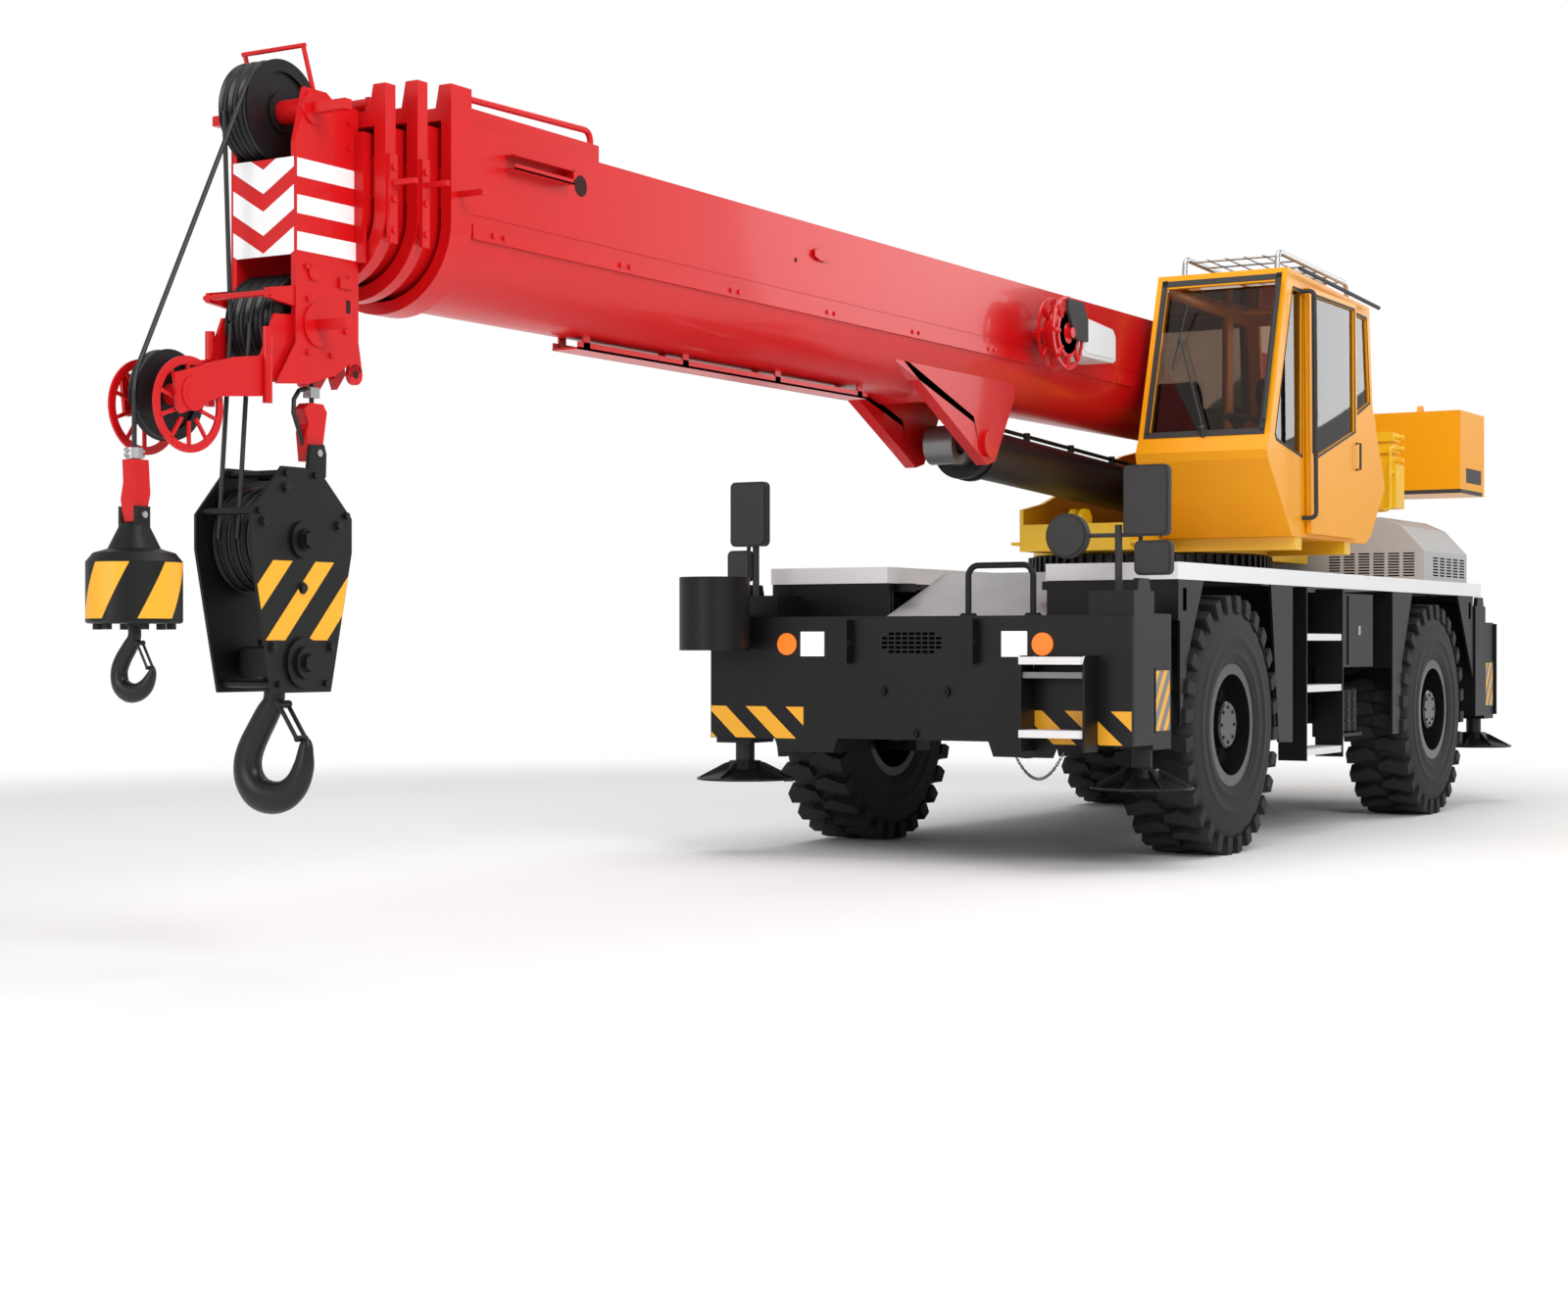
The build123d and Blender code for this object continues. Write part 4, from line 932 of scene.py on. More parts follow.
@dataclass
class Tyre:
    """A rubber tyre with bulged walls and slanted lugs, over the faceted carcass.

    Attributes:
        node: CAD node that it stands for.
        body: Body that it turns with.
        axle_x: Place of its axle.
        side: +1 on the left.
        middle_y: Distance of its middle plane from the crane's middle.
        tread: Radius where the lugs stand.
        lugs: Lugs on each side.
    """

    node: str
    body: str
    axle_x: float
    side: float
    middle_y: float = 1.101
    tread: float = 0.7455
    lugs: int = 28

    def build(self, shop: Workshop) -> None:
        """Makes the carcass and its lugs.

        Args:
            shop: The workshop.
        """
        # wall from the rim to the tread as radius, distance from the middle plane
        wall = [
            (0.353, 0.2), (0.362, 0.208), (0.4, 0.2125), (0.405, 0.2155), (0.42, 0.2155), (0.425, 0.213),
            (0.49, 0.2165), (0.495, 0.2195), (0.512, 0.2195), (0.517, 0.217), (0.57, 0.216), (0.62, 0.212),
            (0.655, 0.2), (0.68, 0.18), (0.697, 0.14), (0.705, 0.08),
        ]
        profile = wall + [(0.707, 0.0)] + [(r, -w) for r, w in reversed(wall)] + [(0.32, -0.18), (0.32, 0.18)]
        carcass = Shape()
        carcass.turned(profile, (self.axle_x, self.side * self.middle_y, AXLE_HEIGHT), self.side, 112)
        skin = shop.piece(self.node + "_carcass", carcass, Paints.TYRE, self.body)
        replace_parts(skin, self.node)
        for half, tag, shift in ((1.0, "a", 0.0), (-1.0, "b", 0.5)):
            name = self.node + "_lugs_" + tag
            shop.repeat(name, self._lug(half), self._round(shift), Paints.TYRE, self.body)

    @staticmethod
    def _lug(half: float) -> Shape:
        """Makes one lug and the part of it that wraps over the wall.

        Args:
            half: +1 for the outer half of the tread, -1 for the inner one.

        Returns:
            The lug, round the point on the tread.
        """
        lug = Shape()
        # along the tread, distance from the middle plane
        top = [
            (-0.052, 0.2135), (0.026, 0.2135), (0.034, 0.165), (0.07, 0.085),
            (0.046, 0.012), (-0.016, -0.006), (-0.022, 0.07), (-0.05, 0.155),
        ]
        lug.prism([(t, half * w, -0.062) for t, w in top], (0.0, 0.0, 0.062))
        # along the tread, distance from the middle plane, height over the tread
        wrap = [
            (-0.049, 0.19, -0.002), (-0.049, 0.2135, -0.002), (-0.046, 0.2165, -0.03),
            (-0.04, 0.2185, -0.098), (-0.04, 0.19, -0.098),
        ]
        lug.prism([(t, half * w, h) for t, w, h in wrap], (0.072, 0.0, 0.0))
        return lug

    def _round(self, shift: float) -> list:
        """Spreads the lugs round the tread.

        Args:
            shift: Turn of the first lug, as a share of the pitch.

        Returns:
            The places.
        """
        places = []
        for k in range(self.lugs):
            turn = 2 * math.pi * (k + shift) / self.lugs
            x, z = math.cos(turn), math.sin(turn)
            point = (self.axle_x + self.tread * x, self.side * self.middle_y, AXLE_HEIGHT + self.tread * z)
            places.append(Place(point, (x, 0.0, z), (-z, 0.0, x)))
        return places


def smooth(points: Sequence[Point], parts: int) -> list:
    """Runs a smooth curve through the points.

    Args:
        points: Points of three numbers each.
        parts: Pieces that each stretch is cut into.

    Returns:
        The points of the curve.
    """
    spots = [Vector(p) for p in points]
    spots = [spots[0] * 2 - spots[1], *spots, spots[-1] * 2 - spots[-2]]
    curve = []
    for a, b, c, d in zip(spots, spots[1:], spots[2:], spots[3:]):
        slope, bend, twist = c - a, a * 2 - b * 5 + c * 4 - d, b * 3 - a - c * 3 + d
        for k in range(parts):
            t = k / parts
            curve.append(b + slope * (t / 2) + bend * (t * t / 2) + twist * (t**3 / 2))
    return [*curve, spots[-2]]


@dataclass
class Hook:
    """A forged hook with a tapered round section and its safety latch.

    Attributes:
        node: CAD node that it stands for.
        body: Body that it turns with.
        x: Place of its plane.
        line: Middle line and radius as (y, z, radius).
        stem: Stem above the hook as (radius, low, high).
        flat: Thickness across the plane, as a share.
        latch: Latch as its two ends (y, z).
    """

    node: str
    body: str
    x: float
    line: tuple
    stem: tuple
    flat: float
    latch: tuple

    def build(self, shop: Workshop) -> None:
        """Makes the hook and its latch.

        Args:
            shop: The workshop.
        """
        shape = Shape()
        line = smooth(self.line, 5)
        shape.tube([(self.x, y, z) for y, z, _ in line], [r for _, _, r in line], 28, self.flat)
        for radius, low, high in self.stem:
            shape.tube([(self.x, 0.0, low), (self.x, 0.0, high)], radius, 32)
        hook = shop.piece(self.node + "_forged", shape, Paints.DARK, self.body)
        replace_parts(hook, self.node)
        self._latch(shop)

    def _latch(self, shop: Workshop) -> None:
        """Makes the latch as two arms between two cross pins.

        Args:
            shop: The workshop.
        """
        (y_a, z_a), (y_b, z_b) = self.latch
        latch = Shape()
        across = 0.35 * self.line[1][2]
        for side in (-1, 1):
            place = self.x + side * across * 1.6
            latch.tube([(place, y_a, z_a), (place, y_b, z_b)], across * 0.55, 8)
        for y, z, reach, radius in ((y_a, z_a, across * 2.2, across), (y_b, z_b, across * 1.8, across * 0.8)):
            latch.tube([(self.x - reach, y, z), (self.x + reach, y, z)], radius, 12)
        shop.piece(self.node + "_latch", latch, Paints.DARK, self.body)


# middle line of each hook as y, z, radius
MAIN_HOOK = (
    (0.0, 1.085, 0.042), (0.0, 1.0, 0.044), (-0.034, 0.945, 0.05), (-0.074, 0.885, 0.052),
    (-0.113, 0.82, 0.055), (-0.131, 0.76, 0.058), (-0.121, 0.7, 0.062), (-0.078, 0.651, 0.065),
    (-0.01, 0.633, 0.063), (0.06, 0.646, 0.057), (0.116, 0.69, 0.05), (0.146, 0.75, 0.043),
    (0.155, 0.8, 0.034), (0.158, 0.838, 0.026), (0.153, 0.862, 0.012),
)
AUX_HOOK = (
    (0.0, 1.28, 0.024), (0.0, 1.235, 0.025), (-0.022, 1.2, 0.029), (-0.054, 1.158, 0.031),
    (-0.073, 1.115, 0.032), (-0.066, 1.068, 0.034), (-0.03, 1.042, 0.036), (0.014, 1.041, 0.033),
    (0.052, 1.06, 0.029), (0.076, 1.09, 0.022), (0.087, 1.117, 0.014), (0.084, 1.134, 0.007),
)


@dataclass
class Ropes:
    """Hoist ropes between the sheaves, the rope's end at the block, and the wire clips."""

    radius: float = 0.009
    rows: tuple = (-0.096, -0.048, 0.0, 0.048, 0.096)
    groove: float = 0.185

    def build(self, shop: Workshop) -> None:
        """Makes the ropes and their clips.

        Args:
            shop: The workshop.
        """
        self._hoist(shop)
        self._wraps(shop)
        self._block(shop)
        self._clips(shop)

    def _wrap(self, shape: Shape, centre: Point, groove: float, rise: float = 0.0085) -> None:
        """Lays a rope round a sheave, as a ring that rises over its groove."""
        ring = [(groove, -0.0085), (groove + rise, -0.003), (groove + rise, 0.003), (groove, 0.0085)]
        shape.turned(ring, centre, 1.0, 64)

    def _hoist(self, shop: Workshop) -> None:
        """Makes the straight runs at the boom head.

        Args:
            shop: The workshop.
        """
        hoist = Shape()
        aux = [(8.738, -0.009, 3.285), (9.299, 0.0, 2.187), (9.31, 0.0, 2.145), (9.315, 0.0, 2.1)]
        main = [(8.753, -0.105, 3.2), (8.7285, -0.097, 2.42)]
        for line in (aux, main):
            hoist.tube([(at(x), y, z) for x, y, z in line], self.radius, 10)
        shop.piece("hoist_ropes", hoist, Paints.ROPE, "boom_head")

    def _wraps(self, shop: Workshop) -> None:
        """Makes the ropes on the sheaves of the boom head and of the auxiliary arm.

        Args:
            shop: The workshop.
        """
        wraps = Shape()
        for x, z, rows in ((8.56, 3.215, (-0.105, -0.057, -0.009)), (8.535, 2.407, self.rows)):
            for y in rows:
                self._wrap(wraps, (at(x), y, z), self.groove)
        self._wrap(wraps, (at(9.158), 0.0, 2.1), 0.149, 0.009)
        shop.piece("rope_wraps", wraps, Paints.ROPE, "boom_head")

    def _block(self, shop: Workshop) -> None:
        """Makes the ropes of the hook block and the tail behind its socket.

        Args:
            shop: The workshop.
        """
        block = Shape()
        for y in self.rows:
            self._wrap(block, (at(BLOCK_X), y, 1.6), self.groove)
        tail = [
            (8.505, 1.92), (8.53, 1.97), (8.56, 2.03), (8.583, 2.08),
            (8.58, 2.13), (8.552, 2.165), (8.512, 2.175), (8.488, 2.16),
        ]
        block.tube([(at(x), 0.082, z) for x, z in tail], self.radius, 10)
        shop.piece("block_ropes", block, Paints.ROPE, "main_block")

    def _clips(self, shop: Workshop) -> None:
        """Makes the wire clips at the block and at the weight.

        Args:
            shop: The workshop.
        """
        clips = Shape()
        for z in (2.15, 2.17):
            clips.tube([(at(8.452), 0.083, z), (at(8.516), 0.083, z)], 0.006, 8)
        clips.box((at(8.458), 0.064, 2.141), (at(8.51), 0.102, 2.181))
        shop.piece("block_clip", clips, Paints.STEEL, "main_block")
        sleeve = Shape()
        sleeve.tube([(at(9.3153), 0.0, 1.863), (at(9.3153), 0.0, 1.901)], 0.0305, 20)
        for z in (1.892, 1.873):
            sleeve.tube([(at(9.268), 0.0, z), (at(9.362), 0.0, z)], 0.006, 8)
        shop.piece("aux_clip", sleeve, Paints.STEEL, "aux_weight")


@dataclass
class BlockStripes:
    """Slanted yellow stripes on both cheeks of the hook block."""

    low: float = 1.225
    high: float = 1.52
    side_y: float = 0.1412
    front: float = 0.2
    width: float = 0.105
    pitch: float = 0.2315
    lean: float = 0.272
    # front and rear edge of a cheek, each by two points (height, distance ahead of the block's middle)
    edges: tuple = (((1.56, 0.272), (1.03, 0.157)), ((1.56, -0.277), (1.03, -0.157)))

    def build(self, shop: Workshop) -> None:
        """Makes the stripes, which lean rearwards as they rise on both cheeks.

        Args:
            shop: The workshop.
        """
        plates = Shape()
        for side, facing in ((1.0, Axis.PLUS_Y), (-1.0, Axis.MINUS_Y)):
            for k in (1, 0, -1):
                front = self.front + k * self.pitch
                rear = front - self.width
                foot, top = (rear, front), (front - self.lean, rear - self.lean)
                kept = [(u, self.low) for u in foot] + [(u, self.high) for u in top]
                if side < 0:
                    kept = [(-u, v) for u, v in kept]
                for (z_a, x_a), (z_b, x_b) in self.edges:
                    kept = beside((x_a, z_a), (x_b, z_b)).clip(kept)
                if len(kept) > 2:
                    plates.plate([(at(BLOCK_X + u), side * self.side_y, v) for u, v in kept], facing)
        shop.piece("block_stripes", plates, Paints.SIGN_YELLOW, "main_block")


@dataclass
class WeightStripes:
    """Slanted yellow stripes round the overhaul weight."""

    radius: float = 0.1676
    low: float = 1.3
    high: float = 1.497
    count: int = 4
    first: float = -0.72
    lean: float = 0.61
    width: float = 0.8
    rows: int = 10
    columns: int = 8

    def build(self, shop: Workshop) -> None:
        """Makes the stripes as bands that follow the cylinder.

        Args:
            shop: The workshop.
        """
        shape = Shape()
        row = self.columns + 1
        for k in range(self.count):
            start = 2 * math.pi * k / self.count + self.first
            base = len(shape.verts)
            for i in range(self.rows + 1):
                z = self.low + (self.high - self.low) * i / self.rows
                for j in range(row):
                    turn = start + self.lean * i / self.rows + self.width * j / self.columns
                    x, y = self.radius * math.cos(turn), self.radius * math.sin(turn)
                    shape.verts.append(Vector((at(WEIGHT_X) + x, y, z)))
            for i in range(self.rows):
                for j in range(self.columns):
                    a = base + i * row + j
                    shape.faces.append((a, a + 1, a + row + 1, a + row))
        shop.piece("weight_stripes", shape, Paints.SIGN_YELLOW, "aux_weight")


@dataclass
class Reflectors:
    """Striped plates on the outrigger columns."""

    low: float = 0.742
    high: float = 1.068
    half: float = 0.1
    side_y: float = 1.2935
    pitch: float = 0.155
    rise: float = 0.28
    tall: float = 0.08

    def build(self, shop: Workshop) -> None:
        """Makes the plates.

        Args:
            shop: The workshop.
        """
        for tag in ("fl", "fr", "rl", "rr"):
            low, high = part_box("outrigger_beam_" + tag)
            middle = (low[0] + high[0]) / 2
            side = 1.0 if tag.endswith("l") else -1.0
            facing = Axis.PLUS_Y if side > 0 else Axis.MINUS_Y
            backing, bars = Shape(), Shape()
            a, b = middle - self.half, middle + self.half
            backing.side_plate((a, self.low), (b, self.high), side * self.side_y)
            starts = count_up(self.low - 0.3, self.high + 0.1, self.pitch)
            bands = [
                [(b, z), (a, z + self.rise), (a, z + self.rise + self.tall), (b, z + self.tall)]
                for z in starts
            ]
            for kept in cut_bands(bands, (a, self.low), (b, self.high)):
                bars.plate([(u, side * (self.side_y + 0.0012), v) for u, v in kept], facing, 0.0008)
            shop.piece("reflector_" + tag, backing, Paints.SIGN_YELLOW, "outrigger_" + tag)
            shop.piece("reflector_bars_" + tag, bars, Paints.GREY_BAR, "outrigger_" + tag)


@dataclass
class CabTrim:
    """Rubber seals round the panes, door handle, windscreen frame and wiper."""

    left_y: float = 1.255
    door_y: float = 1.293

    def build(self, shop: Workshop) -> None:
        """Makes the trim.

        Args:
            shop: The workshop.
        """
        cab, door = Shape(), Shape()
        front = [(0.66, 3.4), (0.83, 3.4), (1.14, 2.49), (1.11, 2.46), (0.66, 2.385)]
        rear = [(-0.39, 2.72), (-0.37, 3.38), (-0.62, 3.37), (-0.69, 2.83)]
        pane = [(-0.26, 2.6), (0.48, 2.39), (0.56, 2.42), (0.58, 3.385), (-0.245, 3.385)]
        for outline in (front, rear):
            self._seal(cab, outline, self.left_y, 0.018)
        self._seal(door, pane, self.door_y, 0.02)
        shop.piece("cab_seals", cab, Paints.PLASTIC, "superstructure")
        door.box((at(0.542), self.door_y - 0.021, 2.2), (at(0.568), self.door_y - 0.004, 2.31))
        handle = ((0.002, 2.35), (0.03, 2.35), (0.03, 2.52), (0.002, 2.52))
        door.tube([(at(-0.29), self.door_y + out, z) for out, z in handle], 0.008, 8)
        shop.piece("door_seals", door, Paints.PLASTIC, "cab_door")
        self._screen(shop)

    def _screen(self, shop: Workshop) -> None:
        """Makes the windscreen's frame and its wiper.

        Args:
            shop: The workshop.
        """
        screen = Shape()
        normal = Vector((0.9549, 0.0, 0.297))
        foot, top = Vector((at(1.238), 0.0, 2.479)), Vector((at(0.913), 0.0, 3.524))
        run = top - foot
        # each strip from y to y, and from share to share of the pane's height
        strips = (
            (0.44, 0.475, 0.02, 0.97),
            (1.185, 1.22, 0.02, 0.97),
            (0.44, 1.22, 0.0, 0.035),
            (0.44, 1.22, 0.93, 0.965),
        )
        for y_a, y_b, share_a, share_b in strips:
            low, high = foot + run * share_a, foot + run * share_b
            outline = [(c.x, y, c.z) for c, y in ((low, y_a), (low, y_b), (high, y_b), (high, y_a))]
            screen.prism([Vector(p) + normal * 0.0002 for p in outline], normal * 0.004)
        heel, tip = foot + run * 0.05 + normal * 0.03, foot + run * 0.62 + normal * 0.018
        screen.tube([(heel.x, 0.83, heel.z), (tip.x, 0.6, tip.z)], 0.007, 8)
        screen.tube([(tip.x + 0.02, 0.56, tip.z - 0.22), (tip.x - 0.05, 0.64, tip.z + 0.2)], 0.006, 8)
        screen.tube([(foot.x - 0.01, 0.83, foot.z), (heel.x + 0.012, 0.83, heel.z)], 0.018, 12)
        shop.piece("windscreen_trim", screen, Paints.PLASTIC, "superstructure")

    @staticmethod
    def _seal(shape: Shape, outline: list, y: float, width: float) -> None:
        """Lays a flat seal round an outline.

        Args:
            shape: Shape to add to.
            outline: Corners as (x, z), x from the middle of the wheelbase.
            y: Plane of the pane.
            width: How far the seal reaches past the outline.
        """
        points = [Vector((at(u), v)) for u, v in outline]
        middle = sum(points, Vector((0.0, 0.0))) / len(points)
        outer = [middle + (p - middle) * (1.0 + width / max((p - middle).length, 0.1)) for p in points]
        plane = y + 0.0003
        for i, a in enumerate(points):
            j = (i + 1) % len(points)
            corners = (a, points[j], outer[j], outer[i])
            shape.prism([(c.x, plane, c.y) for c in corners], (0.0, 0.003, 0.0))


@dataclass
class Chain:
    """A small chain that hangs between two hooks.

    Attributes:
        name: Piece name.
        start: One end.
        end: Other end.
        sag: How far it hangs below its ends.
        pitch: Length of chain for each link.
    """

    name: str
    start: tuple
    end: tuple
    sag: float = 0.08
    pitch: float = 0.02

    def build(self, shop: Workshop) -> None:
        """Makes the links on a hanging line.

        Args:
            shop: The workshop.
        """
        a, b = Vector(self.start), Vector(self.end)
        count = max(8, round(((b - a).length + 2 * self.sag) / self.pitch))
        drops = [self.sag * (1.0 - (2.0 * i / count - 1.0) ** 2) for i in range(count + 1)]
        line = [a.lerp(b, i / count) - Vector((0.0, 0.0, drop)) for i, drop in enumerate(drops)]
        places = []
        for i, (p, q) in enumerate(zip(line, line[1:])):
            run = (q - p).normalized()
            helper = Vector((0.0, 0.0, 1.0)) if abs(run.z) < 0.9 else Vector((0.0, 1.0, 0.0))
            across = run.cross(helper).normalized()
            aim = across if i % 2 else across.cross(run)
            places.append(Place(tuple((p + q) / 2), tuple(aim), tuple(run)))
        shop.repeat(self.name, self._link(), places, Paints.STEEL_DARK, "chassis")

    @staticmethod
    def _link() -> Shape:
        """Makes one long link round its own origin.

        Returns:
            The link.
        """
        link = Shape()
        turns = [math.pi * k / 6 + 0.01 for k in range(13)]
        loop = [(0.011 * math.cos(t) + math.copysign(0.004, math.cos(t)), 0.007 * math.sin(t)) for t in turns]
        link.tube([(u, v, 0.0) for u, v in loop], 0.0025, 6)
        return link


@dataclass
class DeckTrim:
    """Counterweight edge and plate, mirror glasses, the boom's weld seams and slot, and painted shade in the
    boom's holes.
    """

    strip: float = 0.03

    def build(self, shop: Workshop) -> None:
        """Makes the trim.

        Args:
            shop: The workshop.
        """
        edge, sign = Shape(), Shape()
        low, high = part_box("counterweight")
        top = low[2] + self.strip
        for y in (high[1], low[1]):
            edge.side_plate((low[0] + 0.06, low[2]), (high[0], top), y)
        ends = ((low[1], low[2]), (high[1], low[2]), (high[1], top), (low[1], top))
        edge.plate([(high[0], y, z) for y, z in ends], Axis.PLUS_X)
        shop.piece("counterweight_edge", edge, Paints.PLASTIC, "superstructure")
        sign.side_plate((low[0] + 0.09, 2.43), (low[0] + 0.5, 2.54), high[1])
        shop.piece("bare_plate", sign, Paints.PLASTIC, "superstructure")
        glass, seams, holes, rim = Shape(), Shape(), Shape(), Shape()
        for x, y_low, y_high in ((3.25, 1.195, 1.425), (3.09, -1.375, -1.155)):
            glass.box((at(x) + 0.003, y_low, 1.8), (at(x) + 0.0056, y_high, 2.15))
        shop.piece("mirror_glass", glass, Paints.CHROME, "chassis")
        for y in (0.3102, -0.3102):
            seams.side_plate((at(-2.0), 2.917), (at(7.84), 2.921), y, 0.003)
        shop.piece("boom_weld", seams, Paints.RED, "boom_base")
        # dark discs of painted shade where the boom has holes
        for x, z, radius in ((7.05, 3.147, 0.045), (5.26, 3.07, 0.012)):
            holes.tube([(at(x), 0.3095, z), (at(x), 0.3108, z)], radius, 32)
        shop.piece("boom_holes", holes, Paints.SHADE, "boom_base")
        slot = (
            (4.93, 3.11), (4.98, 3.095), (5.05, 3.095), (5.1, 3.11),
            (5.1, 3.14), (5.05, 3.155), (4.98, 3.155), (4.93, 3.14),
        )
        rim.plate([(at(x), 0.322, z) for x, z in slot], Axis.PLUS_Y, 0.004)
        shop.piece("slot_rim", rim, Paints.RED, "boom_base")


class Drawing(Shape):
    """A shape drawn in millimetres from the middle of the wheelbase."""

    def block(
        self, x_low: float, x_high: float, y_low: float, y_high: float, z_low: float, z_high: float
    ) -> None:
        """Adds a box from its low and high X, Y and Z."""
        self.box(mm(x_low, y_low, z_low), mm(x_high, y_high, z_high))

    def side_prism(self, points: Sequence[Point], y_low: float, y_high: float) -> None:
        """Adds an outline of (x, z) points, filled from y_low to y_high."""
        self.prism([mm(x, y_low, z) for x, z in points], (0.0, (y_high - y_low) / 1000.0, 0.0))

    def bar(self, start: Point, end: Point, radius: float, sides: int = 16) -> None:
        """Adds a round bar between two points."""
        self.tube([mm(*start), mm(*end)], radius / 1000.0, sides)

    def cross_bar(
        self, x: float, z: float, y_low: float, y_high: float, radius: float, sides: int = 32
    ) -> None:
        """Adds a round bar across the crane, from y_low to y_high."""
        self.bar((x, y_low, z), (x, y_high, z), radius, sides)

    def bent(self, points: Sequence[Point], bend: float, radius: float, sides: int = 12) -> None:
        """Adds a tube along straight runs joined by arcs.

        Args:
            points: Corners of the run.
            bend: Distance from each corner where its arc starts.
            radius: Tube radius.
            sides: Corners round the tube.
        """
        corners = [Vector(p) for p in points]
        path = [corners[0]]
        for a, b, c in zip(corners, corners[1:], corners[2:]):
            into, out = (a - b).normalized() * bend, (c - b).normalized() * bend
            for k in range(7):
                t = k / 6
                path.append((b + into) * (1 - t) ** 2 + b * (2 * t * (1 - t)) + (b + out) * t**2)
        path.append(corners[-1])
        self.tube([mm(*p) for p in path], radius / 1000.0, sides)

    def wheel(
        self, x: float, y: float, z: float, profile: Sequence[Point], side: float = 1.0, sides: int = 72
    ) -> None:
        """Adds a closed ring of (radius, distance outwards) points round a cross axis."""
        self.turned([(r / 1000.0, w / 1000.0) for r, w in profile], mm(x, y, z), side, sides)


def mm(x: float, y: float, z: float) -> tuple:
    """Turns millimetres from the middle of the wheelbase into the row frame."""
    return (at(x / 1000.0), y / 1000.0, z / 1000.0)


def span(side: float, near: float, far: float) -> tuple:
    """Gives two distances from the crane's middle as low and high Y on one side."""
    return (near, far) if side > 0 else (-far, -near)


def sheave(bore: float, hub: float, web: float, rim: float, groove: float) -> list:
    """Outlines a rope sheave by its radii, 46 mm wide with a web of 24 mm."""
    lower = [(bore, -23), (hub, -23), (hub, -12), (web, -12), (web, -23), (rim, -23), (groove, -12)]
    return lower + [(radius, -out) for radius, out in reversed(lower)]


@dataclass
class HeadDetail:
    """Plates, shaft ends, rope guards and jib ears of the boom head."""

    half: float = 155.0

    def build(self, shop: Workshop) -> None:
        """Makes the pieces.

        Args:
            shop: The workshop.
        """
        head = Drawing()
        outline = (
            (8303, 3250), (8330, 3258), (8590, 3282), (8657, 3082), (8657, 2330),
            (8766, 2168), (8579, 2184), (8439, 2226), (8358, 2275), (8303, 2370),
        )
        for side in (-1, 1):
            head.side_prism(outline, *span(side, self.half, self.half + 5))
            for x, z, radius in ((8560, 3215, 59), (8535, 2407, 82), (8561, 2601, 30)):
                head.cross_bar(x, z, *span(side, self.half, self.half + 14), radius)
            for x, z, reach in ((8560, 3215, 175), (8535, 2407, 155)):
                low, high = span(side, self.half, self.half + reach)
                head.block(x - 19, x + 19, low, high, z - 19, z + 19)
            jib_ear = ((8640, 2545), (8640, 2465), (8800, 2482), (8800, 2518))
            head.side_prism(jib_ear, *span(side, self.half - 20, self.half))
            head.bar((8530, side * 145, 3250), (8600, side * 145, 3447), 9)
            low, high = span(side, 117, 135)
            head.cross_bar(8290, 2245, low, high, 40)
            head.side_prism([(8252, 2258), (8283, 2420), (8325, 2420), (8326, 2230)], low, high)
            pad = ((8350, 2560), (8420, 2560), (8420, 2600), (8350, 2600))
            head.side_prism(pad, *span(side, self.half, self.half + 16))
        head.cross_bar(8790, 2500, -self.half - 12, self.half + 12, 11)
        head.cross_bar(8600, 3445, -self.half, self.half, 9)
        shop.piece("head_plates", head, Paints.RED, "boom_head")
        # painted shade: dark red in the lower pin's bores and in a slot on each head plate
        eyes = Drawing()
        for side in (-1, 1):
            eyes.cross_bar(8290, 2245, *span(side, 116.5, 135.5), 16)
            eyes.block(8350, 8375, *span(side, self.half + 4.8, self.half + 5.6), 2470, 2520)
        shop.piece("head_eyes", eyes, Paints.SHADE, "boom_head")
        sheaves = Drawing()
        for x, z, rows in ((8560, 3215, (-105, -57, -9)), (8535, 2407, (-96, -48, 0, 48, 96))):
            for y in rows:
                sheaves.wheel(x, y, z, sheave(46, 76, 154, 200, 184))
        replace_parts(shop.piece("rope_wheels", sheaves, Paints.DARK, "boom_head"), "head_sheaves")


@dataclass
class AuxArm:
    """The auxiliary arm with its sheave and spoked rope guards."""

    x: float = 9158.0
    z: float = 2100.0
    guard_x: float = 9160.0
    guard_z: float = 2062.0

    def build(self, shop: Workshop) -> None:
        """Makes the pieces.

        Args:
            shop: The workshop.
        """
        arm = Drawing()
        outline = [
            (8600, 2215), (8600, 2440), (8740, 2430), (8811, 2268), (8958, 2248), (9256, 2164),
            (9240, 2040), (9218, 2024), (9022, 2101), (8811, 2119), (8740, 2190),
        ]
        for side in (-1, 1):
            arm.side_prism(outline, *span(side, 121, 135))
            arm.cross_bar(self.x, self.z, *span(side, 121, 139), 62)
            arm.bar((8790, side * 142, 2095), (8790, side * 142, 2375), 18)
            self._guard(arm, side)
        arm.block(8800, 8812, -122, 122, 2130, 2262)
        arm.cross_bar(self.x, self.z, -140, 140, 40)
        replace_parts(shop.piece("aux_arm_plates", arm, Paints.RED, "boom_head"), "aux_arm")
        wheel = Drawing()
        wheel.wheel(self.x, 0, self.z, sheave(40, 70, 125, 163, 148))
        shop.piece("aux_sheave", wheel, Paints.DARK, "boom_head")

    def _guard(self, arm: Drawing, side: float) -> None:
        """Adds the spoked ring that keeps the rope on the sheave.

        Args:
            arm: Shape to add to.
            side: +1 on the left.
        """
        ring = [(142, 103), (172, 103), (172, 112), (142, 112)]
        arm.wheel(self.guard_x, 0, self.guard_z, ring, side, 64)
        for k in range(10):
            turn = math.pi / 5 * k + 0.3
            x, z = math.cos(turn), math.sin(turn)
            ends = [(self.guard_x + r * x, side * 108, self.guard_z + r * z) for r in (60, 148)]
            arm.bar(*ends, 8, 8)


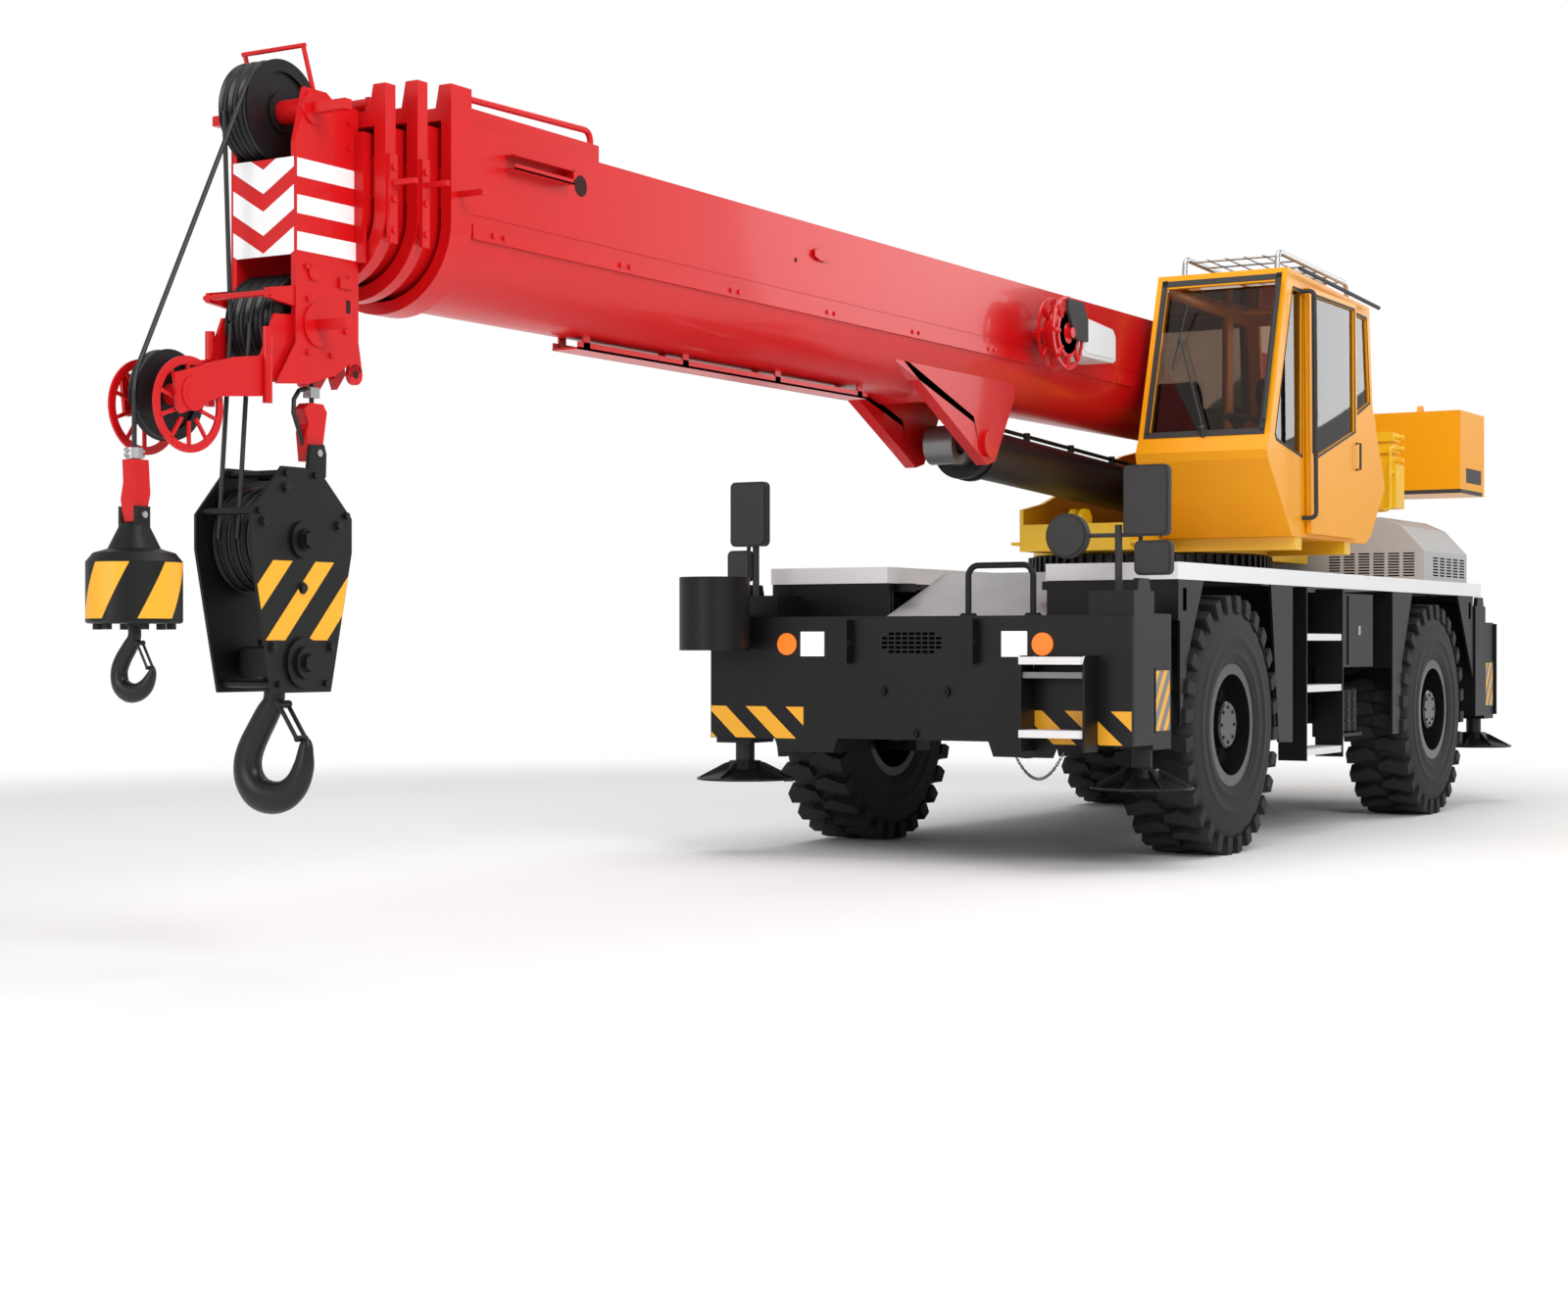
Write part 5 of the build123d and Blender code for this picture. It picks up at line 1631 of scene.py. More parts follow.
@dataclass
class AuxWeight:
    """Overhaul weight with its clevis, wedge socket and rope."""

    x: float = 9315.0

    def build(self, shop: Workshop) -> None:
        """Makes the pieces.

        Args:
            shop: The workshop.
        """
        weight = Drawing()
        rings = ((1283, 160), (1289, 167), (1500, 167), (1531, 142), (1546, 92), (1636, 48))
        for (low, wide), (high, narrow) in zip(rings, rings[1:]):
            weight.tube([mm(self.x, 0, low), mm(self.x, 0, high)], [wide / 1000.0, narrow / 1000.0], 64)
        for side in (-1, 1):
            low, high = span(side, 29, 45)
            weight.block(self.x - 32, self.x + 32, low, high, 1600, 1695)
        for k in range(6):
            turn = math.pi / 3 * k
            x, y = self.x + 130 * math.cos(turn), 130 * math.sin(turn)
            weight.block(x - 12, x + 12, y - 12, y + 12, 1262, 1284)
        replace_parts(shop.piece("overhaul_weight", weight, Paints.BLACK, "aux_weight"), "aux_weight")
        rope = Drawing()
        rope.bar((self.x, 0, 2100), (self.x, 0, 1858), 9, 10)
        shop.piece("aux_rope", rope, Paints.ROPE, "aux_weight")
        socket = Drawing()
        outline = ((-24, 1641), (24, 1641), (38, 1720), (26, 1780), (30, 1860), (-42, 1860), (-50, 1740))
        socket.side_prism([(self.x + x, z) for x, z in outline], -28, 28)
        shop.piece("aux_wedge", socket, Paints.RED, "aux_weight")
        pin = Drawing()
        pin.cross_bar(self.x, 1665, -54, 54, 12, 16)
        shop.piece("aux_pin", pin, Paints.STEEL, "aux_weight")


@dataclass
class BlockDetail:
    """Sheaves, bosses, tie bars and the rope's socket of the hook block."""

    x: float = 8600.0

    def build(self, shop: Workshop) -> None:
        """Makes the pieces.

        Args:
            shop: The workshop.
        """
        block = Drawing()
        for side in (-1, 1):
            low, high = span(side, 140, 155)
            block.cross_bar(self.x, 1600, low, high, 70)
            block.cross_bar(self.x, 1141, low, high, 95)
            for z in (1600, 1141):
                block.cross_bar(self.x, z, *span(side, 150, 188), 34, 6)
        for x, z in ((-70, 1845), (90, 1845), (235, 1700), (-245, 1700), (-130, 1062), (130, 1062)):
            block.cross_bar(self.x + x, z, -153, 153, 13, 12)
        for y in (-96, -48, 0, 48, 96):
            block.wheel(self.x, y, 1600, [(192, -12), (204, -23.5), (204, -19), (196, -9)])
        block.side_prism([(8455, 1840), (8560, 1840), (8540, 1960), (8465, 1965), (8452, 1930)], 115, 130)
        shop.piece("block_fittings", block, Paints.BLACK, "main_block")
        socket = Drawing()
        outline = (
            (8458, 1900), (8526, 1900), (8540, 2010), (8528, 2040), (8552, 2095),
            (8520, 2120), (8446, 2120), (8424, 2090),
        )
        socket.side_prism(outline, 55, 108)
        shop.piece("main_wedge", socket, Paints.RED, "main_block")
        pin = Drawing()
        pin.cross_bar(8491, 1931, 48, 134, 14, 16)
        shop.piece("main_pin", pin, Paints.STEEL, "main_block")
        rope = Drawing()
        rope.bar((8482, 82, 2119), (8482, 82, 2200), 9, 10)
        shop.piece("main_rope_end", rope, Paints.ROPE, "main_block")


@dataclass
class BoomDetail:
    """Cable duct, top frame, tray, bracket plate, guide bars and rollers of the boom."""

    half: float = 310.0

    def build(self, shop: Workshop) -> None:
        """Makes the pieces.

        Args:
            shop: The workshop.
        """
        boom = Drawing()
        for z_low, z_high in ((3130, 3136), (3184, 3190)):
            boom.block(7170, 7580, self.half, self.half + 55, z_low, z_high)
        boom.block(7170, 7176, self.half, self.half + 55, 3130, 3190)
        boom.block(7170, 7580, self.half + 49, self.half + 55, 3130, 3150)
        for y in (225, -225):
            boom.bent([(6860, y, 3350), (6860, y, 3420), (7800, y, 3400), (7800, y, 3350)], 50, 14)
        for x in (6850, 7330, 7800):
            boom.block(x, x + 24, -240, 240, 3330, 3352)
        boom.block(4100, 6730, -70, 70, 2506, 2516)
        for side in (-1, 1):
            boom.block(4100, 6730, *span(side, 64, 70), 2506, 2540)
            for x in (4160, 5000, 5840, 6640):
                boom.block(x, x + 50, *span(side, 60, 70), 2510, 2590)
            low, high = span(side, self.half + 5, self.half + 160)
            boom.block(7916, 7936, low, high, 2962, 2984)
            boom.cross_bar(3060, 2336, *span(side, 258, 285), 78)
        boom.side_prism([(4145, 2746), (3500, 2556), (3500, 2540), (4145, 2700)], -191, 191)
        for side in (-1, 1):
            wing = ((4145, 2746), (3228, 2473), (3150, 2290), (3228, 2440), (4145, 2690))
            boom.side_prism(wing, *span(side, 190, 260))
        boom.side_prism([(3260, 3268), (3340, 3268), (3320, 3345), (3280, 3345)], -10, 10)
        shop.piece("boom_fittings", boom, Paints.RED, "boom_base")
        for step, front in ((1, 8144), (2, 8294)):
            self._collar(shop, step, front)

    def _collar(self, shop: Workshop, step: int, front: float) -> None:
        """Makes the ears, roller, guide bars and screws of a section's collar.

        Args:
            shop: The workshop.
            step: 1 for the second section, 2 for the third.
            front: X of the collar's front face.
        """
        ears = Drawing()
        top, half, drop = 3314 - 35 * step, 354 - 35 * step, 10 * step
        for y in (-70, 50):
            ears.block(front - 50, front - 10, y, y + 20, top - 60, top + 70)
        ears.cross_bar(front - 30, top + 45, -60, 60, 24)
        for side in (-1, 1):
            low, high = span(side, half, half + 126)
            ears.block(front - 40, front - 20, low, high, 2980 - drop, 3000 - drop)
            low, high = span(side, half, half + 18)
            ears.block(front - 52, front - 8, low, high, 2740, 3080)
            for z in (2790, 2910, 3030):
                ears.cross_bar(front - 30, z, low - 8, high + 8, 14, 6)
        name = str(step + 1)
        shop.piece("collar_fittings_" + name, ears, Paints.RED, "boom_section_" + name)


@dataclass
class ReelSet:
    """The cable reel, its arm and its white cover."""

    x: float = 2560.0
    z: float = 2990.0

    def build(self, shop: Workshop) -> None:
        """Makes the pieces.

        Args:
            shop: The workshop.
        """
        reel = Drawing()
        for y in (430, 520):
            reel.wheel(self.x, y, self.z, [(188, 0), (210, 0), (210, 10), (188, 10)])
            reel.wheel(self.x, y, self.z, [(60, 0), (140, 0), (140, 10), (60, 10)])
            for k in range(8):
                turn = math.pi / 4 * k
                x, z = math.cos(turn), math.sin(turn)
                ends = [(self.x + r * x, y + 5, self.z + r * z) for r in (120, 200)]
                reel.bar(*ends, 16, 8)
        reel.cross_bar(self.x, self.z, 430, 530, 120)
        reel.cross_bar(self.x, self.z, 310, 560, 30)
        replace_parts(shop.piece("reel_wheel", reel, Paints.RED, "boom_base"), "cable_reel")
        arm = Drawing()
        outline = ((2330, 2960), (2330, 3090), (2400, 3180), (2600, 3180), (2600, 3110), (2500, 2960))
        arm.side_prism(outline, 534, 552)
        arm.block(2300, self.x, 310, 340, 2960, 3020)
        shop.piece("reel_carrier", arm, Paints.PLASTIC, "boom_base")
        cover = Drawing()
        housing = (
            (1860, 2900), (1860, 3040), (1900, 3080), (2330, 3110),
            (2390, 3050), (2390, 2930), (2330, 2882), (1900, 2882),
        )
        cover.side_prism(housing, 310, 520)
        lid = (
            (1890, 2915), (1890, 3030), (1920, 3058), (2310, 3082),
            (2355, 3040), (2355, 2940), (2310, 2905), (1915, 2905),
        )
        cover.side_prism(lid, 519, 530)
        shop.piece("reel_cover", cover, Paints.COVER_WHITE, "boom_base")


@dataclass
class LuffDetail:
    """Gland rings, pipe and clamps of the luffing cylinder."""

    foot: tuple = (-1000.0, 2150.0)
    pin: tuple = (3060.0, 2336.0)

    def build(self, shop: Workshop) -> None:
        """Makes the pieces.

        Args:
            shop: The workshop.
        """
        run = Vector(self.pin) - Vector(self.foot)
        length, ahead = run.length, run.normalized()
        up = Vector((-ahead.y, ahead.x))

        def on(along: float, off: float = 0.0) -> tuple:
            """Finds a point beside the cylinder's axis."""
            spot = Vector(self.foot) + ahead * along + up * off
            return (spot.x, 0.0, spot.y)

        shape = Drawing()
        for start, end, radius in ((-215, -185, 172), (-330, -290, 174), (-270, -235, 160)):
            shape.bar(on(length + start), on(length + end), radius, 48)
        shape.bar(on(560), on(592), 156, 48)
        shape.bar(on(420, 172), on(length - 360, 172), 12)
        for k in range(6):
            along = 440 + k * (length - 860) / 5
            shape.bar(on(along, 136), on(along, 192), 22, 8)
        shop.piece("luff_fittings", shape, Paints.BLACK, "luff_barrel")


@dataclass
class RingTeeth:
    """The slewing ring with its outer teeth."""

    teeth: int = 72

    def build(self, shop: Workshop) -> None:
        """Makes the ring and repeats the tooth round it.

        Args:
            shop: The workshop.
        """
        ring = Drawing()
        for radius, low, high in ((782, 1662, 1787), (806, 1662, 1680)):
            ring.bar((80, 0, low), (80, 0, high), radius, 96)
        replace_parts(shop.piece("ring_body", ring, Paints.DARK, "chassis"), "slew_ring")
        tooth = Shape()
        outline = ((-0.018, -0.05), (0.018, -0.05), (0.011, 0.0245), (-0.011, 0.0245))
        tooth.prism([(x, 0.0, z) for x, z in outline], (0.0, 0.1, 0.0))
        places = []
        for k in range(self.teeth):
            turn = 2 * math.pi * k / self.teeth
            x, y = math.cos(turn), math.sin(turn)
            places.append(Place((at(0.08) + 0.781 * x, 0.781 * y, 1.684), (x, y, 0.0), (-y, x, 0.0)))
        shop.repeat("ring_teeth", tooth, places, Paints.DARK, "chassis")


class TableDetail:
    """Ears of the front beam, valve stack and its guard behind the cab, and lifting eyes."""

    def build(self, shop: Workshop) -> None:
        """Makes the pieces.

        Args:
            shop: The workshop.
        """
        table = Drawing()
        for side in (-1, 1):
            low, high = span(side, 20, 50)
            ear = ((1140, 1940), (1290, 1940), (1290, 2020), (1250, 2058), (1180, 2058), (1140, 2020))
            table.side_prism(ear, low, high)
            low, high = span(side, 375, 436)
            table.block(900, 1300, low, high, 1835, 1855)
        table.block(-2460, -2300, 375, 760, 2200, 2320)
        table.block(-2440, -2240, 700, 960, 2200, 2520)
        for z in (2520, 2605, 2690):
            table.block(-2420, -2260, 730, 930, z, z + 62)
            table.bar((-2340, 930, z + 30), (-2340, 985, z + 30), 18)
        table.block(-2400, -2280, 760, 900, 2510, 2760)
        guard = ((-2470, 2300), (-2470, 2900), (-2180, 2900), (-2180, 2240), (-2300, 2240))
        table.bent([(x, 720, z) for x, z in guard], 60, 16)
        for z in (2460, 2640):
            table.bent([(-2250, 940, z), (-2160, 940, z), (-2160, 940, 2180), (-2160, 700, 2180)], 40, 11)
        shop.piece("table_fittings", table, Paints.YELLOW, "superstructure")
        eyes = Drawing()
        for y in (-800, 800):
            eyes.side_prism([(-3450, 2967), (-3310, 2967), (-3350, 3040), (-3410, 3040)], y - 15, y + 15)
        shop.piece("weight_eyes", eyes, Paints.ORANGE, "superstructure")


@dataclass
class CabRails:
    """Grab rail, gutter rail and pillar tube of the cab."""

    left_y: float = 1255.0

    def build(self, shop: Workshop) -> None:
        """Makes the pieces.

        Args:
            shop: The workshop.
        """
        rails = Drawing()
        out = self.left_y + 90
        grab = [(650, self.left_y, 1995), (650, out, 1995), (690, out, 3400), (690, self.left_y, 3400)]
        rails.bent(grab, 40, 14)
        rails.bar((880, self.left_y + 63, 3515), (-690, self.left_y + 63, 3452), 13)
        rails.bar((1236, self.left_y - 40, 2562), (966, self.left_y - 40, 3452), 13)
        for x, z in ((1230, 2580), (972, 3430)):
            rails.bar((x, self.left_y - 40, z), (x - 24, self.left_y - 40, z - 8), 8)
        shop.piece("cab_rails", rails, Paints.PLASTIC, "superstructure")


class RoundedMirrors:
    """Mirror housings with round corners, their posts and the wide-angle mirror."""

    def build(self, shop: Workshop) -> None:
        """Makes the pieces.

        Args:
            shop: The workshop.
        """
        shape = Drawing()
        # side, post x, post y, stem y, main and small housing as (low y, high y)
        table = (
            (1, 3250, 1135, 1262, (1180, 1440), (1243, 1455)),
            (-1, 3090, 1240, 1290, (-1390, -1140), (-1410, -1250)),
        )
        for side, x, post_y, stem_y, main, small in table:
            shape.bar((x, side * post_y, 1490), (x, side * post_y, 1850), 20)
            shape.bar((x, side * post_y, 1795), (x, side * stem_y, 1795), 12)
            shape.bar((x, side * stem_y, 1640), (x, side * stem_y, 2060), 12)
            for (low, high), z_low, z_high in ((main, 1785, 2165), (small, 1577, 1762)):
                for inset, x_low, x_high in ((0, x + 6, x + 44), (12, x + 44, x + 56)):
                    corners = rounded(low + inset, high - inset, z_low + inset, z_high - inset, 32)
                    shape.prism([mm(x_low, y, z) for y, z in corners], ((x_high - x_low) / 1000.0, 0.0, 0.0))
        shape.bar((3250, 1135, 1795), (3250, 850, 1795), 12)
        shape.bar((3250, 850, 1795), (3296, 850, 1795), 122, 40)
        shape.bar((3296, 850, 1795), (3310, 850, 1795), 108, 40)
        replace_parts(shop.piece("mirror_housings", shape, Paints.PLASTIC, "chassis"), "mirrors")


def rounded(y_low: float, y_high: float, z_low: float, z_high: float, radius: float) -> list:
    """Outlines a rectangle with round corners.

    Args:
        y_low: Lower edge along the first axis.
        y_high: Upper edge along it.
        z_low: Lower edge along the second axis.
        z_high: Upper edge along it.
        radius: Radius of the corners.

    Returns:
        The corners in order.
    """
    points = []
    for y, z, start in ((y_high, z_high, 0), (y_low, z_high, 1), (y_low, z_low, 2), (y_high, z_low, 3)):
        centre_y = y - radius if y == y_high else y + radius
        centre_z = z - radius if z == z_high else z + radius
        for k in range(6):
            turn = math.pi / 2 * (start + k / 5)
            points.append((centre_y + radius * math.cos(turn), centre_z + radius * math.sin(turn)))
    return points


@dataclass
class CarrierDetail:
    """Grille, bosses, ears, reflector frames, tanks, bottles and pad ribs of the carrier."""

    grille_x: float = 3476.0
    grille_columns: int = 9
    grille_rows: int = 5

    def build(self, shop: Workshop) -> None:
        """Makes the pieces.

        Args:
            shop: The workshop.
        """
        self._painted_slot_shade(shop)
        black = Drawing()
        for y, z in ((-180, 950), (215, 950), (20, 715)):
            black.bar((3475, y, z), (3500, y, z), 26)
            black.bar((3475, y, z), (3510, y, z), 13, 6)
        # feet of the handrail
        for y in (310, 700):
            black.block(3360, 3430, y - 35, y + 35, 1365, 1373)
        for tag in ("fl", "fr", "rl", "rr"):
            low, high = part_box("outrigger_beam_" + tag)
            middle = ((low[0] + high[0]) / 2 - WHEELBASE_MIDDLE) * 1000.0
            side = 1 if tag.endswith("l") else -1
            # lashing ear on the post at the closed end of the beam's slot
            ear = ((-92, 1490), (92, 1490), (70, 1560), (-70, 1560))
            black.side_prism([(middle + x, z) for x, z in ear], *span(-side, 1279, 1309))
            self._corner(shop, tag, middle, side)
        shop.piece("carrier_fittings", black, Paints.BLACK, "chassis")
        self._tanks(shop)

    def _painted_slot_shade(self, shop: Workshop) -> None:
        """Makes painted shade as flat black plates in the grille's slots and on the dark fields of the deck
        boxes.

        Args:
            shop: The workshop.
        """
        dark = Drawing()
        last_column, last_row = self.grille_columns - 1, self.grille_rows - 1
        for i in range(self.grille_columns):
            for j in range(self.grille_rows):
                if i in (0, last_column) and j in (0, last_row):
                    continue
                y, z = -168 + 42 * i, 1167.5 + 25 * j
                corners = rounded(y - 17, y + 17, z - 7.5, z + 7.5, 7)
                dark.prism([mm(self.grille_x, a, b) for a, b in corners], (0.0012, 0.0, 0.0))
        # painted shade on the side fields of the deck boxes
        for x in (2685, -2985):
            for side in (-1, 1):
                low, high = span(side, 1296.5, 1298)
                dark.block(x, x + 50, low, high, 1395, 1520)
        shop.piece("dark_slots", dark, Paints.OPENING_SHADE, "chassis")

    def _corner(self, shop: Workshop, tag: str, middle: float, side: int) -> None:
        """Makes a reflector's frame and a jack pad's ribs.

        Args:
            shop: The workshop.
            tag: Corner of the carrier.
            middle: X of the outrigger beam's middle.
            side: +1 on the left.
        """
        frame_shape = Drawing()
        a, b = span(side, 1289, 1297)
        across = ((-111, 111, 731, 741), (-111, 111, 1070, 1080))
        upright = ((-111, -101, 741, 1070), (101, 111, 741, 1070))
        for x_low, x_high, z_low, z_high in across + upright:
            frame_shape.block(middle + x_low, middle + x_high, a, b, z_low, z_high)
        shop.piece("reflector_frame_" + tag, frame_shape, Paints.BLACK, "outrigger_" + tag)
        foot, up = mm(middle, side * 1175, 437), (0.0, 0.0, 1.0)
        turns = [math.pi / 4 * k for k in range(8)]
        ribs = [Place(foot, up, (math.cos(t), math.sin(t), 0.0)) for t in turns]
        rib = Shape()
        outline = ((0.06, 0.0), (0.268, 0.0), (0.268, 0.01), (0.12, 0.085), (0.06, 0.1))
        rib.prism([(x, -0.005, z) for x, z in outline], (0.0, 0.01, 0.0))
        shop.repeat("pad_ribs_" + tag, rib, ribs, Paints.DARK, "jack_" + tag)

    def _tanks(self, shop: Workshop) -> None:
        """Makes the cabinet, tanks and boxes between the wheels, the air bottles and the latch.

        Args:
            shop: The workshop.
        """
        tanks = Drawing()
        # x, y and z from low to high
        boxes = (
            (-742, -104, 900, 1262, 1060, 1540),
            (-622, -214, 1262, 1270, 1075, 1525),
            (-742, -104, 430, 901, 1440, 1500),
            (-742, -194, 1050, 1190, 600, 621),
            (-742, -194, 1030, 1051, 600, 1061),
            (-60, 560, 640, 1040, 700, 1500),
            (-60, 560, 430, 641, 1200, 1300),
            (-900, 840, -1262, -640, 760, 1500),
            (-900, 840, -641, -430, 1200, 1300),
        )
        for box in boxes:
            tanks.block(*box)
        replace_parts(shop.piece("tank_boxes", tanks, Paints.BLACK, "chassis"), "side_tanks")
        bottles = Drawing()
        # height and radius up one bottle
        levels = (
            (620, 40), (632, 56), (700, 56), (706, 52), (712, 56), (770, 56), (776, 52),
            (782, 56), (840, 56), (846, 52), (852, 56), (905, 56), (920, 36),
        )
        for x in (-650, -525, -400, -275):
            bottles.tube([mm(x, 1120, z) for z, _ in levels], [r / 1000.0 for _, r in levels], 32)
        shop.piece("air_bottles", bottles, Paints.DARK, "chassis")
        handle = Drawing()
        handle.block(-440, -400, 1270, 1276, 1270, 1330)
        shop.piece("cabinet_latch", handle, Paints.STEEL, "chassis")


class HoodDetail:
    """Louvres of the engine hood, as flat black plates of painted shade."""

    def build(self, shop: Workshop) -> None:
        """Makes the pieces.

        Args:
            shop: The workshop.
        """
        _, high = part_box("engine_hood")
        front, sides = Drawing(), Drawing()
        for i in range(6):
            for j in range(9):
                y, z = 1090 - 110 * i, 1705 + 20 * j
                corners = rounded(y - 42, y + 42, z - 5, z + 5, 4.5)
                front.prism([(high[0], a / 1000.0, b / 1000.0) for a, b in corners], (0.0012, 0.0, 0.0))
        for side in (1, -1):
            for i in range(5):
                for j in range(7):
                    x, z = -3090 + 170 * i, 1710 + 21 * j
                    sides.side_prism(rounded(x - 62, x + 62, z - 5, z + 5, 4.5), *span(side, 1200, 1201.2))
        # painted shade inside the louvres, on the front and on both sides
        shop.piece("hood_front_slots", front, Paints.OPENING_SHADE, "chassis")
        shop.piece("hood_side_slots", sides, Paints.OPENING_SHADE, "chassis")


@dataclass
class SeatPads:
    """The operator's seat as two crowned cushions with sewn channels on a pedestal."""

    steps: int = 20
    roundness: int = 6
    channels: tuple = (-0.36, 0.36)
    pull: float = 0.06
    crown: float = 0.26
    sewn: float = 0.09

    def cushion(self, centre: tuple, half: tuple, lean: float) -> Shape:
        """Makes one closed cushion whose sides pull in between its corners.

        Args:
            centre: Middle of the cushion, in millimetres.
            half: Half its length, width and height.
            lean: Turn about the cross axis, in radians.

        Returns:
            The cushion.
        """
        shape = Shape()
        n, cos, sin = self.steps, math.cos(lean), math.sin(lean)
        for axis, sign in ((a, s) for a in range(3) for s in (-1.0, 1.0)):
            start = len(shape.verts)
            for i in range(n + 1):
                for j in range(n + 1):
                    q = [0.0, 0.0, 0.0]
                    q[axis], q[(axis + 1) % 3], q[(axis + 2) % 3] = sign, 2 * i / n - 1, 2 * j / n - 1
                    size = sum(abs(c) ** self.roundness for c in q) ** (1 / self.roundness)
                    x, y, z = (c / size for c in q)
                    channel = sum(math.exp(-(((y - middle) / 0.045) ** 2)) for middle in self.channels)
                    flat_x, flat_y = 1 - x * x, 1 - y * y
                    rise = 1 - self.crown + self.crown * flat_x * flat_y - self.sewn * channel * flat_x
                    px = x * (1 - self.pull * flat_y) * half[0]
                    py = y * (1 - self.pull * flat_x) * half[1]
                    pz = z * rise * half[2]
                    turned = (px * cos + pz * sin, py, pz * cos - px * sin)
                    shape.verts.append(Vector(mm(*(c + t for c, t in zip(centre, turned)))))
            for i in range(n):
                for j in range(n):
                    a = start + i * (n + 1) + j
                    loop = (a, a + n + 1, a + n + 2, a + 1)
                    shape.faces.append(loop if sign > 0 else loop[::-1])
        return shape

    def build(self, shop: Workshop) -> None:
        """Makes the pieces.

        Args:
            shop: The workshop.
        """
        # name, middle, half length, half width and half height, lean
        pads = (
            ("seat_base_pad", (-75, 840, 2272), (250, 236, 66), 0.0),
            ("seat_back_pad", (-308, 840, 2672), (330, 228, 66), math.pi / 2 + 0.17),
        )
        for name, centre, half, lean in pads:
            pad = shop.piece(name, self.cushion(centre, half, lean), Paints.SEAT, "superstructure")
        stand = Drawing()
        stand.block(-230, 90, 700, 980, 1917, 2211)
        stand.block(-300, 150, 640, 1040, 2205, 2222)
        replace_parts(shop.piece("seat_stand", stand, Paints.PLASTIC, "superstructure"), "operator_seat")


